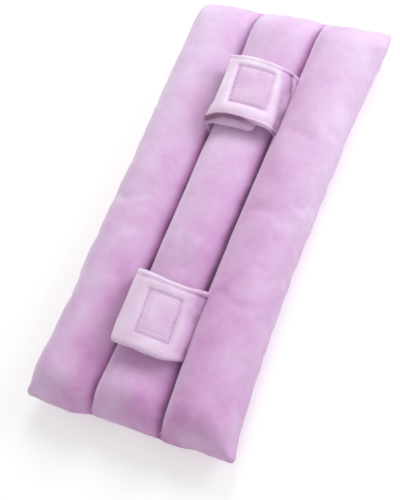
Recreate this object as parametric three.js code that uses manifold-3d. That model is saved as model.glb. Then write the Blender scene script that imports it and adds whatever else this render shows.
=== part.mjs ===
// Seat belt shoulder pad: a plush cushion sewn into three stuffed channels, with two pairs of
// hook-and-loop tabs over the middle channel that close round the webbing of a seat belt.
// Millimetres, +Z up. The pad lies on its back with the tabs on top, and +Y runs along it.
// The origin is on the floor, under the middle of the centre channel.
import * as THREE from "three";
import { mergeVertices } from "three/addons/utils/BufferGeometryUtils.js";
import Module from "manifold-3d";

const wasm = await Module();
wasm.setup();

// Cushion
const channelPitch = 43; // from seam to seam, across the pad
const padLength = 284; // between the two end seams
const crownRise = 20; // from the seam plane up to the crown of a channel
const backDrop = 15; // from the seam plane down to the floor
const backSag = 2; // how much lower the underside would hang if the floor didn't flatten it
const channelRoundness = 2.1; // superellipse exponent of a channel's section, 2 for an ellipse
const endRun = 22; // length over which a channel closes towards its end seam
const endFlatness = 1.6; // how much slower it rises there than a quarter ellipse, which is 1
const cornerRadius = 3; // of the pad's outline
const waistPower = 2.1; // how the long sides curve from their waist out to the corners
const flareTopLeft = 1.4; // how far each corner stands out past the waist of its side
const flareTopRight = 4.9;
const flareBottomLeft = 2.7;
const flareBottomRight = 6.6;

// Cover
const coverThickness = 1.8; // plush fabric with its pile
const seamFabric = 1.2; // one panel where the stitches squeeze it
const seamGap = 0.3; // between the two panels along their seams
const grooveWidth = 1.6; // floor of the groove between two channels
const stuffingClearance = 0.3; // between the wadding and the cover
const threadRadius = 0.45; // of the channel stitching
const threadClearance = 0.3; // round every thread
const threadMargin = 4; // from the end seam to the first channel stitch

// Tabs
const tabThickness = 2.4; // two layers of plush, turned and pressed
const tabCorner = 4; // radius of a free end's corners
const patchThickness = 0.8; // hook tape or pile tape
const patchLength = 28; // along the pad
const patchWidth = 26; // across the pad
const hookCentre = 6.5; // middle of the outer tab's patch, to the right of the crown
const pileCentre = 0; // middle of the inner tab's patch
const layerGap = 0.3; // between pieces that lie on each other
const rootRise = 4.5; // from the seam plane up to where a tab leaves the groove
const rootPull = 13; // how straight a tab rises from its groove
const outerPull = 8; // how long the outer tab keeps the arch's slope past its shoulder
const innerPull = 5; // the same for the inner tab
const outerShoulder = 20.3; // across, where the outer tab leaves the arch
const innerShoulder = 14; // across, where the inner tab leaves the arch
const outerReach = 17; // across, to the outer tab's free end
const innerReach = 15.5; // across, to the inner tab's free end
const pressDepth = 3; // how far the loops press the centre channel's crown down
const pressMargin = 5; // how far the pressed stretch runs past a tab's edges
const pressRun = 14; // length over which the crown rises again beyond that

// Box stitching that holds a patch on its tab
const stitchInset = 1.5; // from the patch's edge
const stitchWidth = 0.8;
const stitchDepth = 0.6;
const cutterMargin = 1; // how far a groove's cutter stands out of the surface it cuts

// Loops
const upperCentre = 74.5; // middle of each loop along the pad
const lowerCentre = -75;
const upperTabWidth = 43; // of a loop's tabs, along the pad
const lowerTabWidth = 47;
const upperBeltRoom = 5; // for the webbing, over the pressed crown
const lowerBeltRoom = 4.9;
const upperArchRadius = 42; // of the arch that a loop's tabs make over the webbing
const lowerArchRadius = 40;
const upperInnerShift = -3.5; // how far an inner tab sits off its loop's middle along the pad
const lowerPatchShift = -3; // how far a loop's patches sit off the middle of its tabs

const loops = [
  {
    name: "upper",
    centre: upperCentre,
    tabWidth: upperTabWidth,
    beltRoom: upperBeltRoom,
    archRadius: upperArchRadius,
    innerShift: upperInnerShift,
    patchShift: 0,
  },
  {
    name: "lower",
    centre: lowerCentre,
    tabWidth: lowerTabWidth,
    beltRoom: lowerBeltRoom,
    archRadius: lowerArchRadius,
    innerShift: 0,
    patchShift: lowerPatchShift,
  },
];

// Facets
const channelFacets = 11; // across a channel, odd so that one lies flat on the crown
const endShares = [0, 0.03, 0.12, 0.27, 0.48, 0.72, 1]; // of the end run, from the seam
const middleFacets = 8; // along the part of the pad between the end runs
const tabEdgeFacets = 5; // round the turned edge of a tab
const tabSideFacets = 11; // from a tab's root to its shoulder
const tabArchFacets = 12; // from its shoulder to its free end
const patchFacets = 8;

const fabric = new THREE.MeshStandardMaterial({ color: 0xdcb6e0, roughness: 0.95, metalness: 0 });
const tabFabric = new THREE.MeshStandardMaterial({ color: 0xe8cfec, roughness: 0.95, metalness: 0 });
const wadding = new THREE.MeshStandardMaterial({ color: 0xf4f4f2, roughness: 1, metalness: 0 });
const tape = new THREE.MeshStandardMaterial({ color: 0xe6d3ea, roughness: 0.8, metalness: 0 });
const thread = new THREE.MeshStandardMaterial({ color: 0xc79bcb, roughness: 0.7, metalness: 0 });

const centreChannel = 1; // of the three, counted from the left
const halfPitch = channelPitch / 2;
const waistHalf = 1.5 * channelPitch;
const seamHeight = seamGap / 2 + seamFabric;
const signedPower = (value, exponent) => Math.sign(value) * Math.abs(value) ** exponent;
const clamp = THREE.MathUtils.clamp;

// Quarter ellipse from 0 to 1 over the given run: how a stuffed form opens from a seam.
const opening = (distance, run) => Math.sqrt(1 - (1 - clamp(distance / run, 0, 1)) ** 2);

// Left and right edge of the pad's outline at a place along it.
function outlineAt(y) {
  const flareShare = Math.abs((2 * y) / padLength) ** waistPower;
  const fromEnd = padLength / 2 - Math.abs(y);
  const cornerLoss = cornerRadius * (1 - opening(fromEnd, cornerRadius));
  const flareLeft = y > 0 ? flareTopLeft : flareBottomLeft;
  const flareRight = y > 0 ? flareTopRight : flareBottomRight;
  return {
    left: -waistHalf - flareLeft * flareShare + cornerLoss,
    right: waistHalf + flareRight * flareShare - cornerLoss,
  };
}

// The space across the pad that each channel's cover takes at a place along it.
function channelSpans(y) {
  const { left, right } = outlineAt(y);
  const groove = grooveWidth / 2;
  return [
    { from: left, to: -halfPitch - groove },
    { from: -halfPitch + groove, to: halfPitch - groove },
    { from: halfPitch + groove, to: right },
  ];
}

const narrowed = ({ from, to }, inset) => ({ from: from + inset, to: to - inset });

// Heights of a channel's arc over its span. Depth cuts the arc off flat, as the floor does.
function channelArc({ from, to }, base, rise, depth = Infinity) {
  const middle = (from + to) / 2;
  const half = (to - from) / 2;
  const points = [];
  for (let i = 0; i <= channelFacets; i++) {
    const angle = (Math.PI * i) / channelFacets;
    const across = signedPower(Math.cos(angle), 2 / channelRoundness);
    const up = Math.abs(Math.sin(angle)) ** (2 / channelRoundness);
    points.push({ x: middle - half * across, z: Math.min(base + (rise - base) * up, depth) });
  }
  return points;
}

// Places along the pad: close together at its ends, where it opens from its seams, and between
// them those given.
function placesAlong(between) {
  const end = padLength / 2;
  const nearEnd = endShares.map((share) => -end + share * endRun);
  return [...nearEnd, ...between, ...nearEnd.map((y) => -y).reverse()];
}

const plainPlaces = placesAlong(
  Array.from({ length: middleFacets - 1 }, (_, i) =>
    THREE.MathUtils.lerp(endRun - padLength / 2, padLength / 2 - endRun, (i + 1) / middleFacets),
  ),
);

// The front panel also follows the crown down to the stretches that the loops press.
const frontPlaces = placesAlong(
  [0, ...loops.flatMap((loop) => {
    const pressed = loop.tabWidth / 2 + pressMargin;
    const offsets = [pressed, pressed + pressRun / 2, pressed + pressRun];
    return offsets.flatMap((offset) => [loop.centre - offset, loop.centre + offset]);
  })].sort((a, b) => a - b),
);

// A closed geometry from points and triangles, turned if its faces point inwards.
function closedGeometry(points, triangles) {
  let volume = 0;
  for (let i = 0; i < triangles.length; i += 3) {
    const [a, b, c] = [0, 1, 2].map((k) => points[triangles[i + k]]);
    volume += a.dot(b.clone().cross(c));
  }
  const facingOut = volume > 0 ? triangles : [...triangles].reverse();
  const geometry = new THREE.BufferGeometry().setFromPoints(points);
  geometry.setIndex(facingOut);
  geometry.computeVertexNormals();
  return geometry;
}

// A solid between two grids of points that match row by row.
function skin(outer, inner) {
  const rows = outer.length;
  const columns = outer[0].length;
  const points = [...outer.flat(), ...inner.flat()];
  const triangles = [];
  const at = (side, row, column) => (side * rows + row) * columns + column;
  const quad = (a, b, c, d) => triangles.push(a, b, c, a, c, d);
  for (let r = 0; r + 1 < rows; r++) {
    for (let c = 0; c + 1 < columns; c++) {
      quad(at(0, r, c), at(0, r, c + 1), at(0, r + 1, c + 1), at(0, r + 1, c));
      quad(at(1, r, c), at(1, r + 1, c), at(1, r + 1, c + 1), at(1, r, c + 1));
    }
    quad(at(0, r, 0), at(0, r + 1, 0), at(1, r + 1, 0), at(1, r, 0));
    const last = columns - 1;
    quad(at(0, r, last), at(1, r, last), at(1, r + 1, last), at(0, r + 1, last));
  }
  for (let c = 0; c + 1 < columns; c++) {
    quad(at(0, 0, c), at(1, 0, c), at(1, 0, c + 1), at(0, 0, c + 1));
    const last = rows - 1;
    quad(at(0, last, c), at(0, last, c + 1), at(1, last, c + 1), at(1, last, c));
  }
  return closedGeometry(points, triangles);
}

// A body through convex rings that all have the same number of points.
function loft(rings) {
  const count = rings[0].length;
  const triangles = [];
  for (let r = 0; r + 1 < rings.length; r++) {
    for (let i = 0; i < count; i++) {
      const next = (i + 1) % count;
      const [a, b] = [r * count + i, r * count + next];
      triangles.push(a, b, b + count, a, b + count, a + count);
    }
  }
  const lastRing = (rings.length - 1) * count;
  for (let i = 1; i + 1 < count; i++) {
    triangles.push(0, i + 1, i, lastRing, lastRing + i, lastRing + i + 1);
  }
  return closedGeometry(rings.flat(), triangles);
}

// How far the loops press the centre channel down at a place along it.
function pressAt(y) {
  const shares = loops.map((loop) => {
    const past = Math.abs(y - loop.centre) - loop.tabWidth / 2 - pressMargin;
    return (1 + Math.cos(Math.PI * clamp(past / pressRun, 0, 1))) / 2;
  });
  return pressDepth * Math.max(...shares);
}

// Heights over the seam plane of a panel's face and lining on one channel, at a place along the
// pad, as if the floor weren't there. Direction 1 is the front with the tabs, -1 the back.
function risesAt(y, direction, channel) {
  const pressed = channel === centreChannel ? pressAt(y) : 0;
  const fullness = direction > 0 ? crownRise - pressed : backDrop + backSag;
  const fromEnd = padLength / 2 - Math.abs(y);
  const faceShare = opening(fromEnd, endRun) ** endFlatness;
  const liningShare = opening(fromEnd - coverThickness, endRun - coverThickness) ** endFlatness;
  return {
    face: THREE.MathUtils.lerp(seamHeight, fullness, faceShare),
    lining: THREE.MathUtils.lerp(seamGap / 2, fullness - coverThickness, liningShare),
  };
}

const depthOf = (direction) => (direction > 0 ? crownRise : backDrop);

// A row of points across the pad from the arcs of its channels, on one side of the seam plane.
const asRow = (arcs, y, direction) =>
  arcs.flat().map(({ x, z }) => new THREE.Vector3(x, y, direction * z));

// One panel of the cover.
function coverPanel(direction) {
  const depth = depthOf(direction);
  const face = [];
  const lining = [];
  for (const y of direction > 0 ? frontPlaces : plainPlaces) {
    const faceArcs = [];
    const liningArcs = [];
    channelSpans(y).forEach((span, channel) => {
      const rises = risesAt(y, direction, channel);
      const hollow = narrowed(span, coverThickness);
      faceArcs.push(channelArc(span, seamHeight, rises.face, depth));
      liningArcs.push(channelArc(hollow, seamGap / 2, rises.lining, depth - coverThickness));
    });
    face.push(asRow(faceArcs, y, direction));
    lining.push(asRow(liningArcs, y, direction));
  }
  return skin(face, lining);
}

// The wadding of one channel, a bolster that fills its hollow in both panels.
function stuffing(channel) {
  const inset = coverThickness + stuffingClearance;
  const half = (y, direction) => {
    const span = narrowed(channelSpans(y)[channel], inset);
    const rise = risesAt(y, direction, channel).lining - stuffingClearance;
    const arc = channelArc(span, stuffingClearance, rise, depthOf(direction) - inset);
    return asRow([arc], y, direction);
  };
  const places = (channel === centreChannel ? frontPlaces : plainPlaces).slice(2, -2);
  return skin(
    places.map((y) => half(y, 1)),
    places.map((y) => half(y, -1)),
  );
}

// Half the room between two channels' flanks at a height over the seam plane.
function valleyHalfRoom(z) {
  const half = halfPitch - grooveWidth / 2;
  const share = clamp((z - seamHeight) / (crownRise - seamHeight), 0, 1);
  return halfPitch - half * (1 - share ** channelRoundness) ** (1 / channelRoundness);
}

// How far the middle of each layer of a loop lies above the underside of its inner tab.
const innerTabLift = tabThickness / 2;
const pileLift = tabThickness + layerGap + patchThickness / 2;
const hookLift = pileLift + patchThickness + layerGap;
const outerTabLift = hookLift + patchThickness / 2 + layerGap + tabThickness / 2;

const archCentre = (loop) => crownRise - pressDepth + loop.beltRoom - loop.archRadius;

// A tab's midline from its root in the groove, up the flank and over the arch to its free end.
// It's drawn for a root on the right; side -1 puts it on the left.
function tabMidline(loop, side, lift, shoulder, reach) {
  const shoulderPull = side > 0 ? outerPull : innerPull;
  const radius = loop.archRadius + lift;
  const slope = Math.asin(shoulder / radius);
  const shoulderPoint = new THREE.Vector2(shoulder, archCentre(loop) + radius * Math.cos(slope));
  const root = new THREE.Vector2(halfPitch, rootRise);
  const abovePull = root.clone().add(new THREE.Vector2(0, rootPull));
  const pastShoulder = new THREE.Vector2(Math.cos(slope), -Math.sin(slope));
  const besidePull = shoulderPoint.clone().addScaledVector(pastShoulder, shoulderPull);
  const flank = new THREE.CubicBezierCurve(root, abovePull, besidePull, shoulderPoint);
  const arch = new THREE.EllipseCurve(
    0,
    archCentre(loop),
    radius,
    radius,
    Math.PI / 2 - slope,
    Math.PI / 2 + Math.asin(reach / radius),
    false,
  );
  const sample = (curve, share, start) => ({
    point: curve.getPointAt(share).multiply(new THREE.Vector2(side, 1)),
    tangent: curve.getTangentAt(share).multiply(new THREE.Vector2(side, 1)),
    travelled: start + share * curve.getLength(),
  });
  const samples = [];
  for (let i = 0; i < tabSideFacets; i++) samples.push(sample(flank, i / tabSideFacets, 0));
  const nearEnd = [tabCorner, tabCorner * 0.6, tabCorner * 0.3, tabCorner * 0.1, 0];
  const archLength = arch.getLength();
  const plain = tabArchFacets - nearEnd.length;
  for (let i = 0; i < plain; i++) {
    const share = ((i / plain) * (archLength - tabCorner)) / archLength;
    samples.push(sample(arch, share, flank.getLength()));
  }
  for (const left of nearEnd) {
    samples.push(sample(arch, 1 - left / archLength, flank.getLength()));
  }
  return samples;
}

// A flat oval ring square to a midline, for a ribbon with round edges.
function ribbonRing({ point, tangent }, y, halfWidth, halfThickness) {
  const normal = new THREE.Vector2(-tangent.y, tangent.x);
  const ring = [];
  for (const edge of [1, -1]) {
    for (let i = 0; i <= tabEdgeFacets; i++) {
      const turn = Math.PI * (i / tabEdgeFacets - 0.5);
      const along = y + edge * (halfWidth - halfThickness + halfThickness * Math.cos(turn));
      const out = point.clone().addScaledVector(normal, -edge * halfThickness * Math.sin(turn));
      ring.push(new THREE.Vector3(out.x, along, out.y));
    }
  }
  return ring;
}

// A tab: wedged thin in its groove, full over the arch, with round corners at its free end.
function tab(loop, side, lift, shoulder, reach, y) {
  const midline = tabMidline(loop, side, lift, shoulder, reach);
  const length = midline[midline.length - 1].travelled;
  const fullHalf = tabThickness / 2;
  const rings = midline.map((sample) => {
    const fromEnd = length - sample.travelled;
    const cornerLoss = tabCorner * (1 - opening(fromEnd, tabCorner));
    const edgeShare = Math.max(opening(fromEnd, fullHalf), 0.3);
    const room = valleyHalfRoom(sample.point.y) - layerGap;
    const halfThickness = Math.min(fullHalf * edgeShare, room);
    return ribbonRing(sample, y, loop.tabWidth / 2 - cornerLoss, halfThickness);
  });
  return loft(rings);
}

// A point on a loop's arch, a distance along the arch from its top.
function archPoint(loop, lift, travelled, y) {
  const radius = loop.archRadius + lift;
  const angle = travelled / radius;
  return new THREE.Vector3(radius * Math.sin(angle), y, archCentre(loop) + radius * Math.cos(angle));
}

// A flat bar bent onto a loop's arch: across and along the pad, and its thickness.
function archBar(loop, lift, acrossCentre, across, yCentre, along, thickness, facets) {
  const geometry = new THREE.BoxGeometry(across, along, thickness, facets, 1, 1);
  const place = geometry.getAttribute("position");
  for (let i = 0; i < place.count; i++) {
    const bent = archPoint(
      loop,
      lift + place.getZ(i),
      acrossCentre + place.getX(i),
      yCentre + place.getY(i),
    );
    place.setXYZ(i, bent.x, bent.y, bent.z);
  }
  geometry.computeVertexNormals();
  return geometry;
}

function asSolid(geometry) {
  const bare = new THREE.BufferGeometry().setAttribute("position", geometry.getAttribute("position"));
  if (geometry.index) bare.setIndex(geometry.index);
  const merged = mergeVertices(bare, 1e-4);
  const mesh = new wasm.Mesh({
    numProp: 3,
    vertProperties: merged.getAttribute("position").array,
    triVerts: new Uint32Array(merged.index.array),
  });
  return new wasm.Manifold(mesh);
}

function asGeometry(solid) {
  const mesh = solid.getMesh();
  const geometry = new THREE.BufferGeometry();
  geometry.setAttribute("position", new THREE.BufferAttribute(mesh.vertProperties, 3));
  geometry.setIndex(new THREE.BufferAttribute(mesh.triVerts, 1));
  geometry.computeVertexNormals();
  return geometry;
}

// A rectangle of square cord on a loop's arch, just inside the edges of a patch.
function boxRing(loop, lift, x, y, width, depth) {
  const across = patchWidth - 2 * stitchInset;
  const along = patchLength - 2 * stitchInset;
  const bars = [-1, 1].flatMap((end) => [
    archBar(loop, lift, x, across + width, y + (end * along) / 2, width, depth, patchFacets),
    archBar(loop, lift, x + (end * across) / 2, width, y, along, depth, 1),
  ]);
  return bars.map(asSolid).reduce((whole, bar) => whole.add(bar));
}

// The box stitching in a tab's face at the given lift, and the cutter of the groove it lies in.
// Direction 1 is a face that looks up, -1 one that looks down.
function boxStitch(loop, face, direction, x, y) {
  const grooveWidth = stitchWidth + 2 * threadClearance;
  const grooveDepth = stitchDepth + 2 * threadClearance;
  const cutterLift = face + (direction * (cutterMargin - grooveDepth)) / 2;
  const stitchLift = face - direction * (threadClearance + stitchDepth / 2);
  return {
    cutter: boxRing(loop, cutterLift, x, y, grooveWidth, grooveDepth + cutterMargin),
    stitch: boxRing(loop, stitchLift, x, y, stitchWidth, stitchDepth),
  };
}

const pad = new THREE.Group();
pad.position.z = backDrop;

function addPiece(name, geometry, material) {
  const mesh = new THREE.Mesh(geometry, material);
  mesh.name = name;
  pad.add(mesh);
  return mesh;
}

addPiece("front_cover_panel", coverPanel(1), fabric);
addPiece("back_cover_panel", coverPanel(-1), fabric);
["left", "centre", "right"].forEach((place, channel) => {
  addPiece(`${place}_channel_wadding`, stuffing(channel), wadding);
});

// The channel stitching: the needle thread in the front grooves, the bobbin thread in the back.
for (const [face, direction] of [["front", 1], ["back", -1]]) {
  for (const [place, side] of [["left", -1], ["right", 1]]) {
    const length = padLength - 2 * threadMargin;
    const geometry = new THREE.CylinderGeometry(threadRadius, threadRadius, length, 6);
    const seam = addPiece(`${place}_seam_${face}_thread`, geometry, thread);
    seam.position.x = side * halfPitch;
    seam.position.z = direction * (seamHeight + threadClearance + threadRadius);
  }
}

// Each loop: two tabs from opposite grooves, a patch on each and the stitching that holds it.
for (const loop of loops) {
  const { name } = loop;
  const outerY = loop.centre;
  const innerY = loop.centre + loop.innerShift;
  const outer = tab(loop, 1, outerTabLift, outerShoulder, outerReach, outerY);
  const inner = tab(loop, -1, innerTabLift, innerShoulder, innerReach, innerY);
  const hookY = outerY + loop.patchShift;
  const pileY = innerY + loop.patchShift;
  const outerSewing = boxStitch(loop, outerTabLift + tabThickness / 2, 1, hookCentre, hookY);
  const innerSewing = boxStitch(loop, innerTabLift - tabThickness / 2, -1, pileCentre, pileY);
  const patch = (lift, x, y) =>
    archBar(loop, lift, x, patchWidth, y, patchLength, patchThickness, patchFacets);
  addPiece(`${name}_outer_tab`, asGeometry(asSolid(outer).subtract(outerSewing.cutter)), tabFabric);
  addPiece(`${name}_inner_tab`, asGeometry(asSolid(inner).subtract(innerSewing.cutter)), tabFabric);
  addPiece(`${name}_hook_patch`, patch(hookLift, hookCentre, hookY), tape);
  addPiece(`${name}_pile_patch`, patch(pileLift, pileCentre, pileY), tape);
  addPiece(`${name}_outer_box_stitch`, asGeometry(outerSewing.stitch), thread);
  addPiece(`${name}_inner_box_stitch`, asGeometry(innerSewing.stitch), thread);
}

export default pad;
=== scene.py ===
"""Looks of a seat belt shoulder pad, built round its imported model.

The pad is lilac-pink plush, sewn into three stuffed channels. Two loops cross the middle
channel, each made of two plush tabs that close with hook-and-loop patches. Sizes are in
millimetres in the classes and become metres where a mesh is made.
"""

import logging
import math
from collections.abc import Iterator
from contextlib import contextmanager
from dataclasses import dataclass, replace
from enum import Enum

import bpy
import numpy as np
from mathutils import Matrix, Vector, noise

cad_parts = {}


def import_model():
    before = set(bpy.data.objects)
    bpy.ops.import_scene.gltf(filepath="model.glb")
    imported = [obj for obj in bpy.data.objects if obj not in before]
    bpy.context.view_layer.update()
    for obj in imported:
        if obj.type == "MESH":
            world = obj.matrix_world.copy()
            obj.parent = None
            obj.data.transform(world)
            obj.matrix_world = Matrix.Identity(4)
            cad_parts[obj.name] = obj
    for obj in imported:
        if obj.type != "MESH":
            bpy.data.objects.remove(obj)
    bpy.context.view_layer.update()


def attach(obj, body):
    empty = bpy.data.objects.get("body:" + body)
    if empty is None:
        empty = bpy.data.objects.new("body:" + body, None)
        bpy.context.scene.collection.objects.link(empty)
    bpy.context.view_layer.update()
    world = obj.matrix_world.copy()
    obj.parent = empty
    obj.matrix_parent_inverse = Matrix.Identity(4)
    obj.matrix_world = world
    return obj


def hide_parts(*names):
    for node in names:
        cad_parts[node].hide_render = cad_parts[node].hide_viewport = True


log = logging.getLogger("shoulder_pad")

MM = 0.001
ROOT_BODY = "root"
# Painted light and shade, stored at each vertex of the plush pieces: above 0 lighter, below 0
# darker.
PAINTED_LIGHT_ATTRIBUTE = "painted_light_and_shade"
Knots = tuple[tuple[float, float], ...]
STRAIGHT: Knots = ((0.0, 0.0),)


class Face(Enum):
    """A side of the seam plane: the front with the loops, or the back on the floor."""

    FRONT = 1
    BACK = -1


class Groove(Enum):
    """The two grooves between the channels."""

    LEFT = -1
    RIGHT = 1


def linear(colour: str) -> tuple[float, float, float, float]:
    """Turn an sRGB hex colour into the linear RGBA that the shaders use.

    Args:
        colour: six hex digits after a hash.

    Returns:
        Linear red, green and blue, with an alpha of 1.
    """
    parts = [int(colour[i : i + 2], 16) / 255 for i in (1, 3, 5)]
    rgb = [p / 12.92 if p <= 0.04045 else ((p + 0.055) / 1.055) ** 2.4 for p in parts]
    return (rgb[0], rgb[1], rgb[2], 1.0)


def add_node(
    tree: bpy.types.NodeTree,
    kind: str,
    settings: dict[str, object] | None = None,
    values: dict[str | int, object] | None = None,
    links: dict[str | int, bpy.types.NodeSocket] | None = None,
) -> bpy.types.Node:
    """Add a shader node with its settings, input values and links.

    Args:
        tree: the material's node tree.
        kind: the node's type name.
        settings: attributes of the node itself.
        values: input sockets and their constant values.
        links: input sockets and the output sockets that feed them.

    Returns:
        The new node.
    """
    node = tree.nodes.new(kind)
    for name, value in (settings or {}).items():
        setattr(node, name, value)
    for key, value in (values or {}).items():
        node.inputs[key].default_value = value
    for key, socket in (links or {}).items():
        tree.links.new(socket, node.inputs[key])
    return node


def new_material(name: str) -> tuple[bpy.types.Material, bpy.types.NodeTree]:
    """Make an empty node material.

    Args:
        name: the finish's name.

    Returns:
        The material and its node tree.
    """
    material = bpy.data.materials.new(name)
    material.use_nodes = True
    material.node_tree.nodes.clear()
    return material, material.node_tree


def pattern_scale(size_mm: float) -> float:
    """Scale of a noise or wave texture whose features are a real size in millimetres."""
    return 1.0 / (size_mm * MM)


def close_surface(
    tree: bpy.types.NodeTree,
    colour: bpy.types.NodeSocket,
    height: bpy.types.NodeSocket,
    bump: tuple[float, float],
    values: dict[str | int, object],
) -> None:
    """Lead a finish's colour and relief into its surface, and that into the output.

    Args:
        tree: the material's node tree.
        colour: the socket that gives the colour.
        height: the socket that gives the relief.
        bump: the relief's strength, and its depth in millimetres.
        values: the surface's constant values.
    """
    strength, depth = bump
    relief = add_node(
        tree,
        "ShaderNodeBump",
        values={"Strength": strength, "Distance": depth * MM},
        links={"Height": height},
    )
    shader = add_node(
        tree,
        "ShaderNodeBsdfPrincipled",
        values=values,
        links={"Base Color": colour, "Normal": relief.outputs["Normal"]},
    )
    add_node(tree, "ShaderNodeOutputMaterial", links={"Surface": shader.outputs["BSDF"]})


@dataclass(frozen=True)
class PlushFinish:
    """Short-pile polyester plush: a knitted base with cut pile that stands up.

    Crushed patches of pile lean other ways and catch the light as paler and deeper clouds,
    and the tips of the pile glow softly at the edges.
    """

    name: str
    tip: str
    deep: str
    cloud_mm: float
    sheen: float
    # The crease colour is painted shade: the ramp reaches it where the most shade is painted, in
    # grooves, hems and under the tabs.
    crease: str = "#925f8f"
    glow: str = "#fdeeff"
    deep_at: float = 0.3
    tuft_mm: float = 4.5
    pile_mm: float = 0.9
    relief_mm: float = 0.3
    clouding: float = 0.52
    tufting: float = 0.2
    pile_relief: float = 0.6
    # Painted light: how much lighter the upper end is coloured than the low end, over this length.
    painted_top_light: float = 0.1
    painted_top_light_over_mm: float = 140.0

    def build(self) -> bpy.types.Material:
        """Make the material.

        Returns:
            The plush, which reads its painted light and shade from each vertex.
        """
        material, tree = new_material(self.name)
        place = add_node(tree, "ShaderNodeTexCoord").outputs["Object"]
        axes = add_node(tree, "ShaderNodeSeparateXYZ", links={"Vector": place})
        clouds, tufts, pile = (
            add_node(
                tree,
                "ShaderNodeTexNoise",
                values={"Scale": pattern_scale(size), "Detail": detail, "Roughness": rough},
                links={"Vector": place},
            ).outputs["Fac"]
            for size, detail, rough in (
                # Clouds of crushed pile, as long as a thumb's width.
                (self.cloud_mm, 2.0, 0.4),
                # Tufts, where neighbouring pile clings together.
                (self.tuft_mm, 1.0, 0.5),
                # The real pile is finer than this; drawn as coarse as it needs to show.
                (self.pile_mm, 1.5, 0.7),
            )
        )
        # Painted light and shade, read from each vertex: lighter where the cloth stands proud,
        # darker where it is sewn down or pressed and where one part shades another.
        painted_light = add_node(
            tree,
            "ShaderNodeAttribute",
            settings={"attribute_type": "GEOMETRY", "attribute_name": PAINTED_LIGHT_ATTRIBUTE},
        )
        shade = add_node(
            tree,
            "ShaderNodeMath",
            settings={"operation": "ADD"},
            values={1: 0.5 * (1 - self.clouding)},
            links={0: painted_light.outputs["Fac"]},
        ).outputs[0]
        # Painted light: coloured lighter towards the upper end and darker towards the low end.
        painted_top_light = self.painted_top_light / (self.painted_top_light_over_mm * MM)
        for source, share in (
            (clouds, self.clouding),
            (tufts, self.tufting),
            (axes.outputs["Y"], painted_top_light),
        ):
            shade = add_node(
                tree,
                "ShaderNodeMath",
                settings={"operation": "MULTIPLY_ADD"},
                values={1: share},
                links={0: source, 2: shade},
            ).outputs[0]
        # The ramp turns the sum into colour: clouds and tufts move it at random, and the painted
        # light and shade move it where light and shade fall.
        ramp = add_node(tree, "ShaderNodeValToRGB", links={"Fac": shade})
        stops = ramp.color_ramp.elements
        stops[0].position, stops[0].color = 0.0, linear(self.crease)
        stops[1].position, stops[1].color = 1.0, linear(self.tip)
        stops.new(self.deep_at).color = linear(self.deep)
        relief = add_node(
            tree,
            "ShaderNodeMath",
            settings={"operation": "MULTIPLY_ADD"},
            values={1: self.pile_relief},
            links={0: pile, 2: tufts},
        )
        values = {
            "Roughness": 0.95,
            "IOR": 1.5,
            "Specular IOR Level": 0.15,
            "Sheen Weight": self.sheen,
            "Sheen Roughness": 0.55,
            "Sheen Tint": linear(self.glow),
        }
        bump = (0.5, self.relief_mm)
        close_surface(tree, ramp.outputs["Color"], relief.outputs[0], bump, values)
        return material


@dataclass(frozen=True)
class TapeFinish:
    """Woven polyamide tape: a ribbed ground under hooks or a loop pile."""

    name: str
    light: str
    dark: str
    rib_mm: float
    grain_mm: float
    roughness: float
    grain_share: float = 0.5
    relief_mm: float = 0.25

    def build(self) -> bpy.types.Material:
        """Make the material.

        Returns:
            The tape.
        """
        material, tree = new_material(self.name)
        place = add_node(tree, "ShaderNodeTexCoord").outputs["Object"]
        ribs = add_node(
            tree,
            "ShaderNodeTexWave",
            settings={"bands_direction": "Y", "wave_profile": "SIN"},
            values={"Scale": pattern_scale(self.rib_mm) / (2 * math.pi), "Distortion": 0.6},
            links={"Vector": place},
        )
        grain = add_node(
            tree,
            "ShaderNodeTexVoronoi",
            values={"Scale": pattern_scale(self.grain_mm)},
            links={"Vector": place},
        )
        height = add_node(
            tree,
            "ShaderNodeMath",
            settings={"operation": "MULTIPLY_ADD"},
            values={1: self.grain_share},
            links={0: grain.outputs["Distance"], 2: ribs.outputs["Fac"]},
        ).outputs[0]
        colour = add_node(
            tree,
            "ShaderNodeMix",
            settings={"data_type": "RGBA"},
            values={6: linear(self.dark), 7: linear(self.light)},
            links={0: height},
        ).outputs[2]
        values = {"Roughness": self.roughness, "IOR": 1.53, "Specular IOR Level": 0.35}
        close_surface(tree, colour, height, (0.7, self.relief_mm), values)
        return material


@dataclass(frozen=True)
class ThreadFinish:
    """Spun polyester sewing thread, two plies twisted together."""

    name: str
    light: str
    dark: str
    ply_mm: float = 0.5
    relief_mm: float = 0.08

    def build(self) -> bpy.types.Material:
        """Make the material.

        Returns:
            The thread.
        """
        material, tree = new_material(self.name)
        place = add_node(tree, "ShaderNodeTexCoord").outputs["Object"]
        plies = add_node(
            tree,
            "ShaderNodeTexWave",
            settings={"bands_direction": "DIAGONAL"},
            values={"Scale": pattern_scale(self.ply_mm) / (2 * math.pi), "Distortion": 0.4},
            links={"Vector": place},
        ).outputs["Fac"]
        colour = add_node(
            tree,
            "ShaderNodeMix",
            settings={"data_type": "RGBA"},
            values={6: linear(self.dark), 7: linear(self.light)},
            links={0: plies},
        ).outputs[2]
        values = {"Roughness": 0.6, "IOR": 1.55, "Specular IOR Level": 0.4}
        close_surface(tree, colour, plies, (0.5, self.relief_mm), values)
        return material


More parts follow.
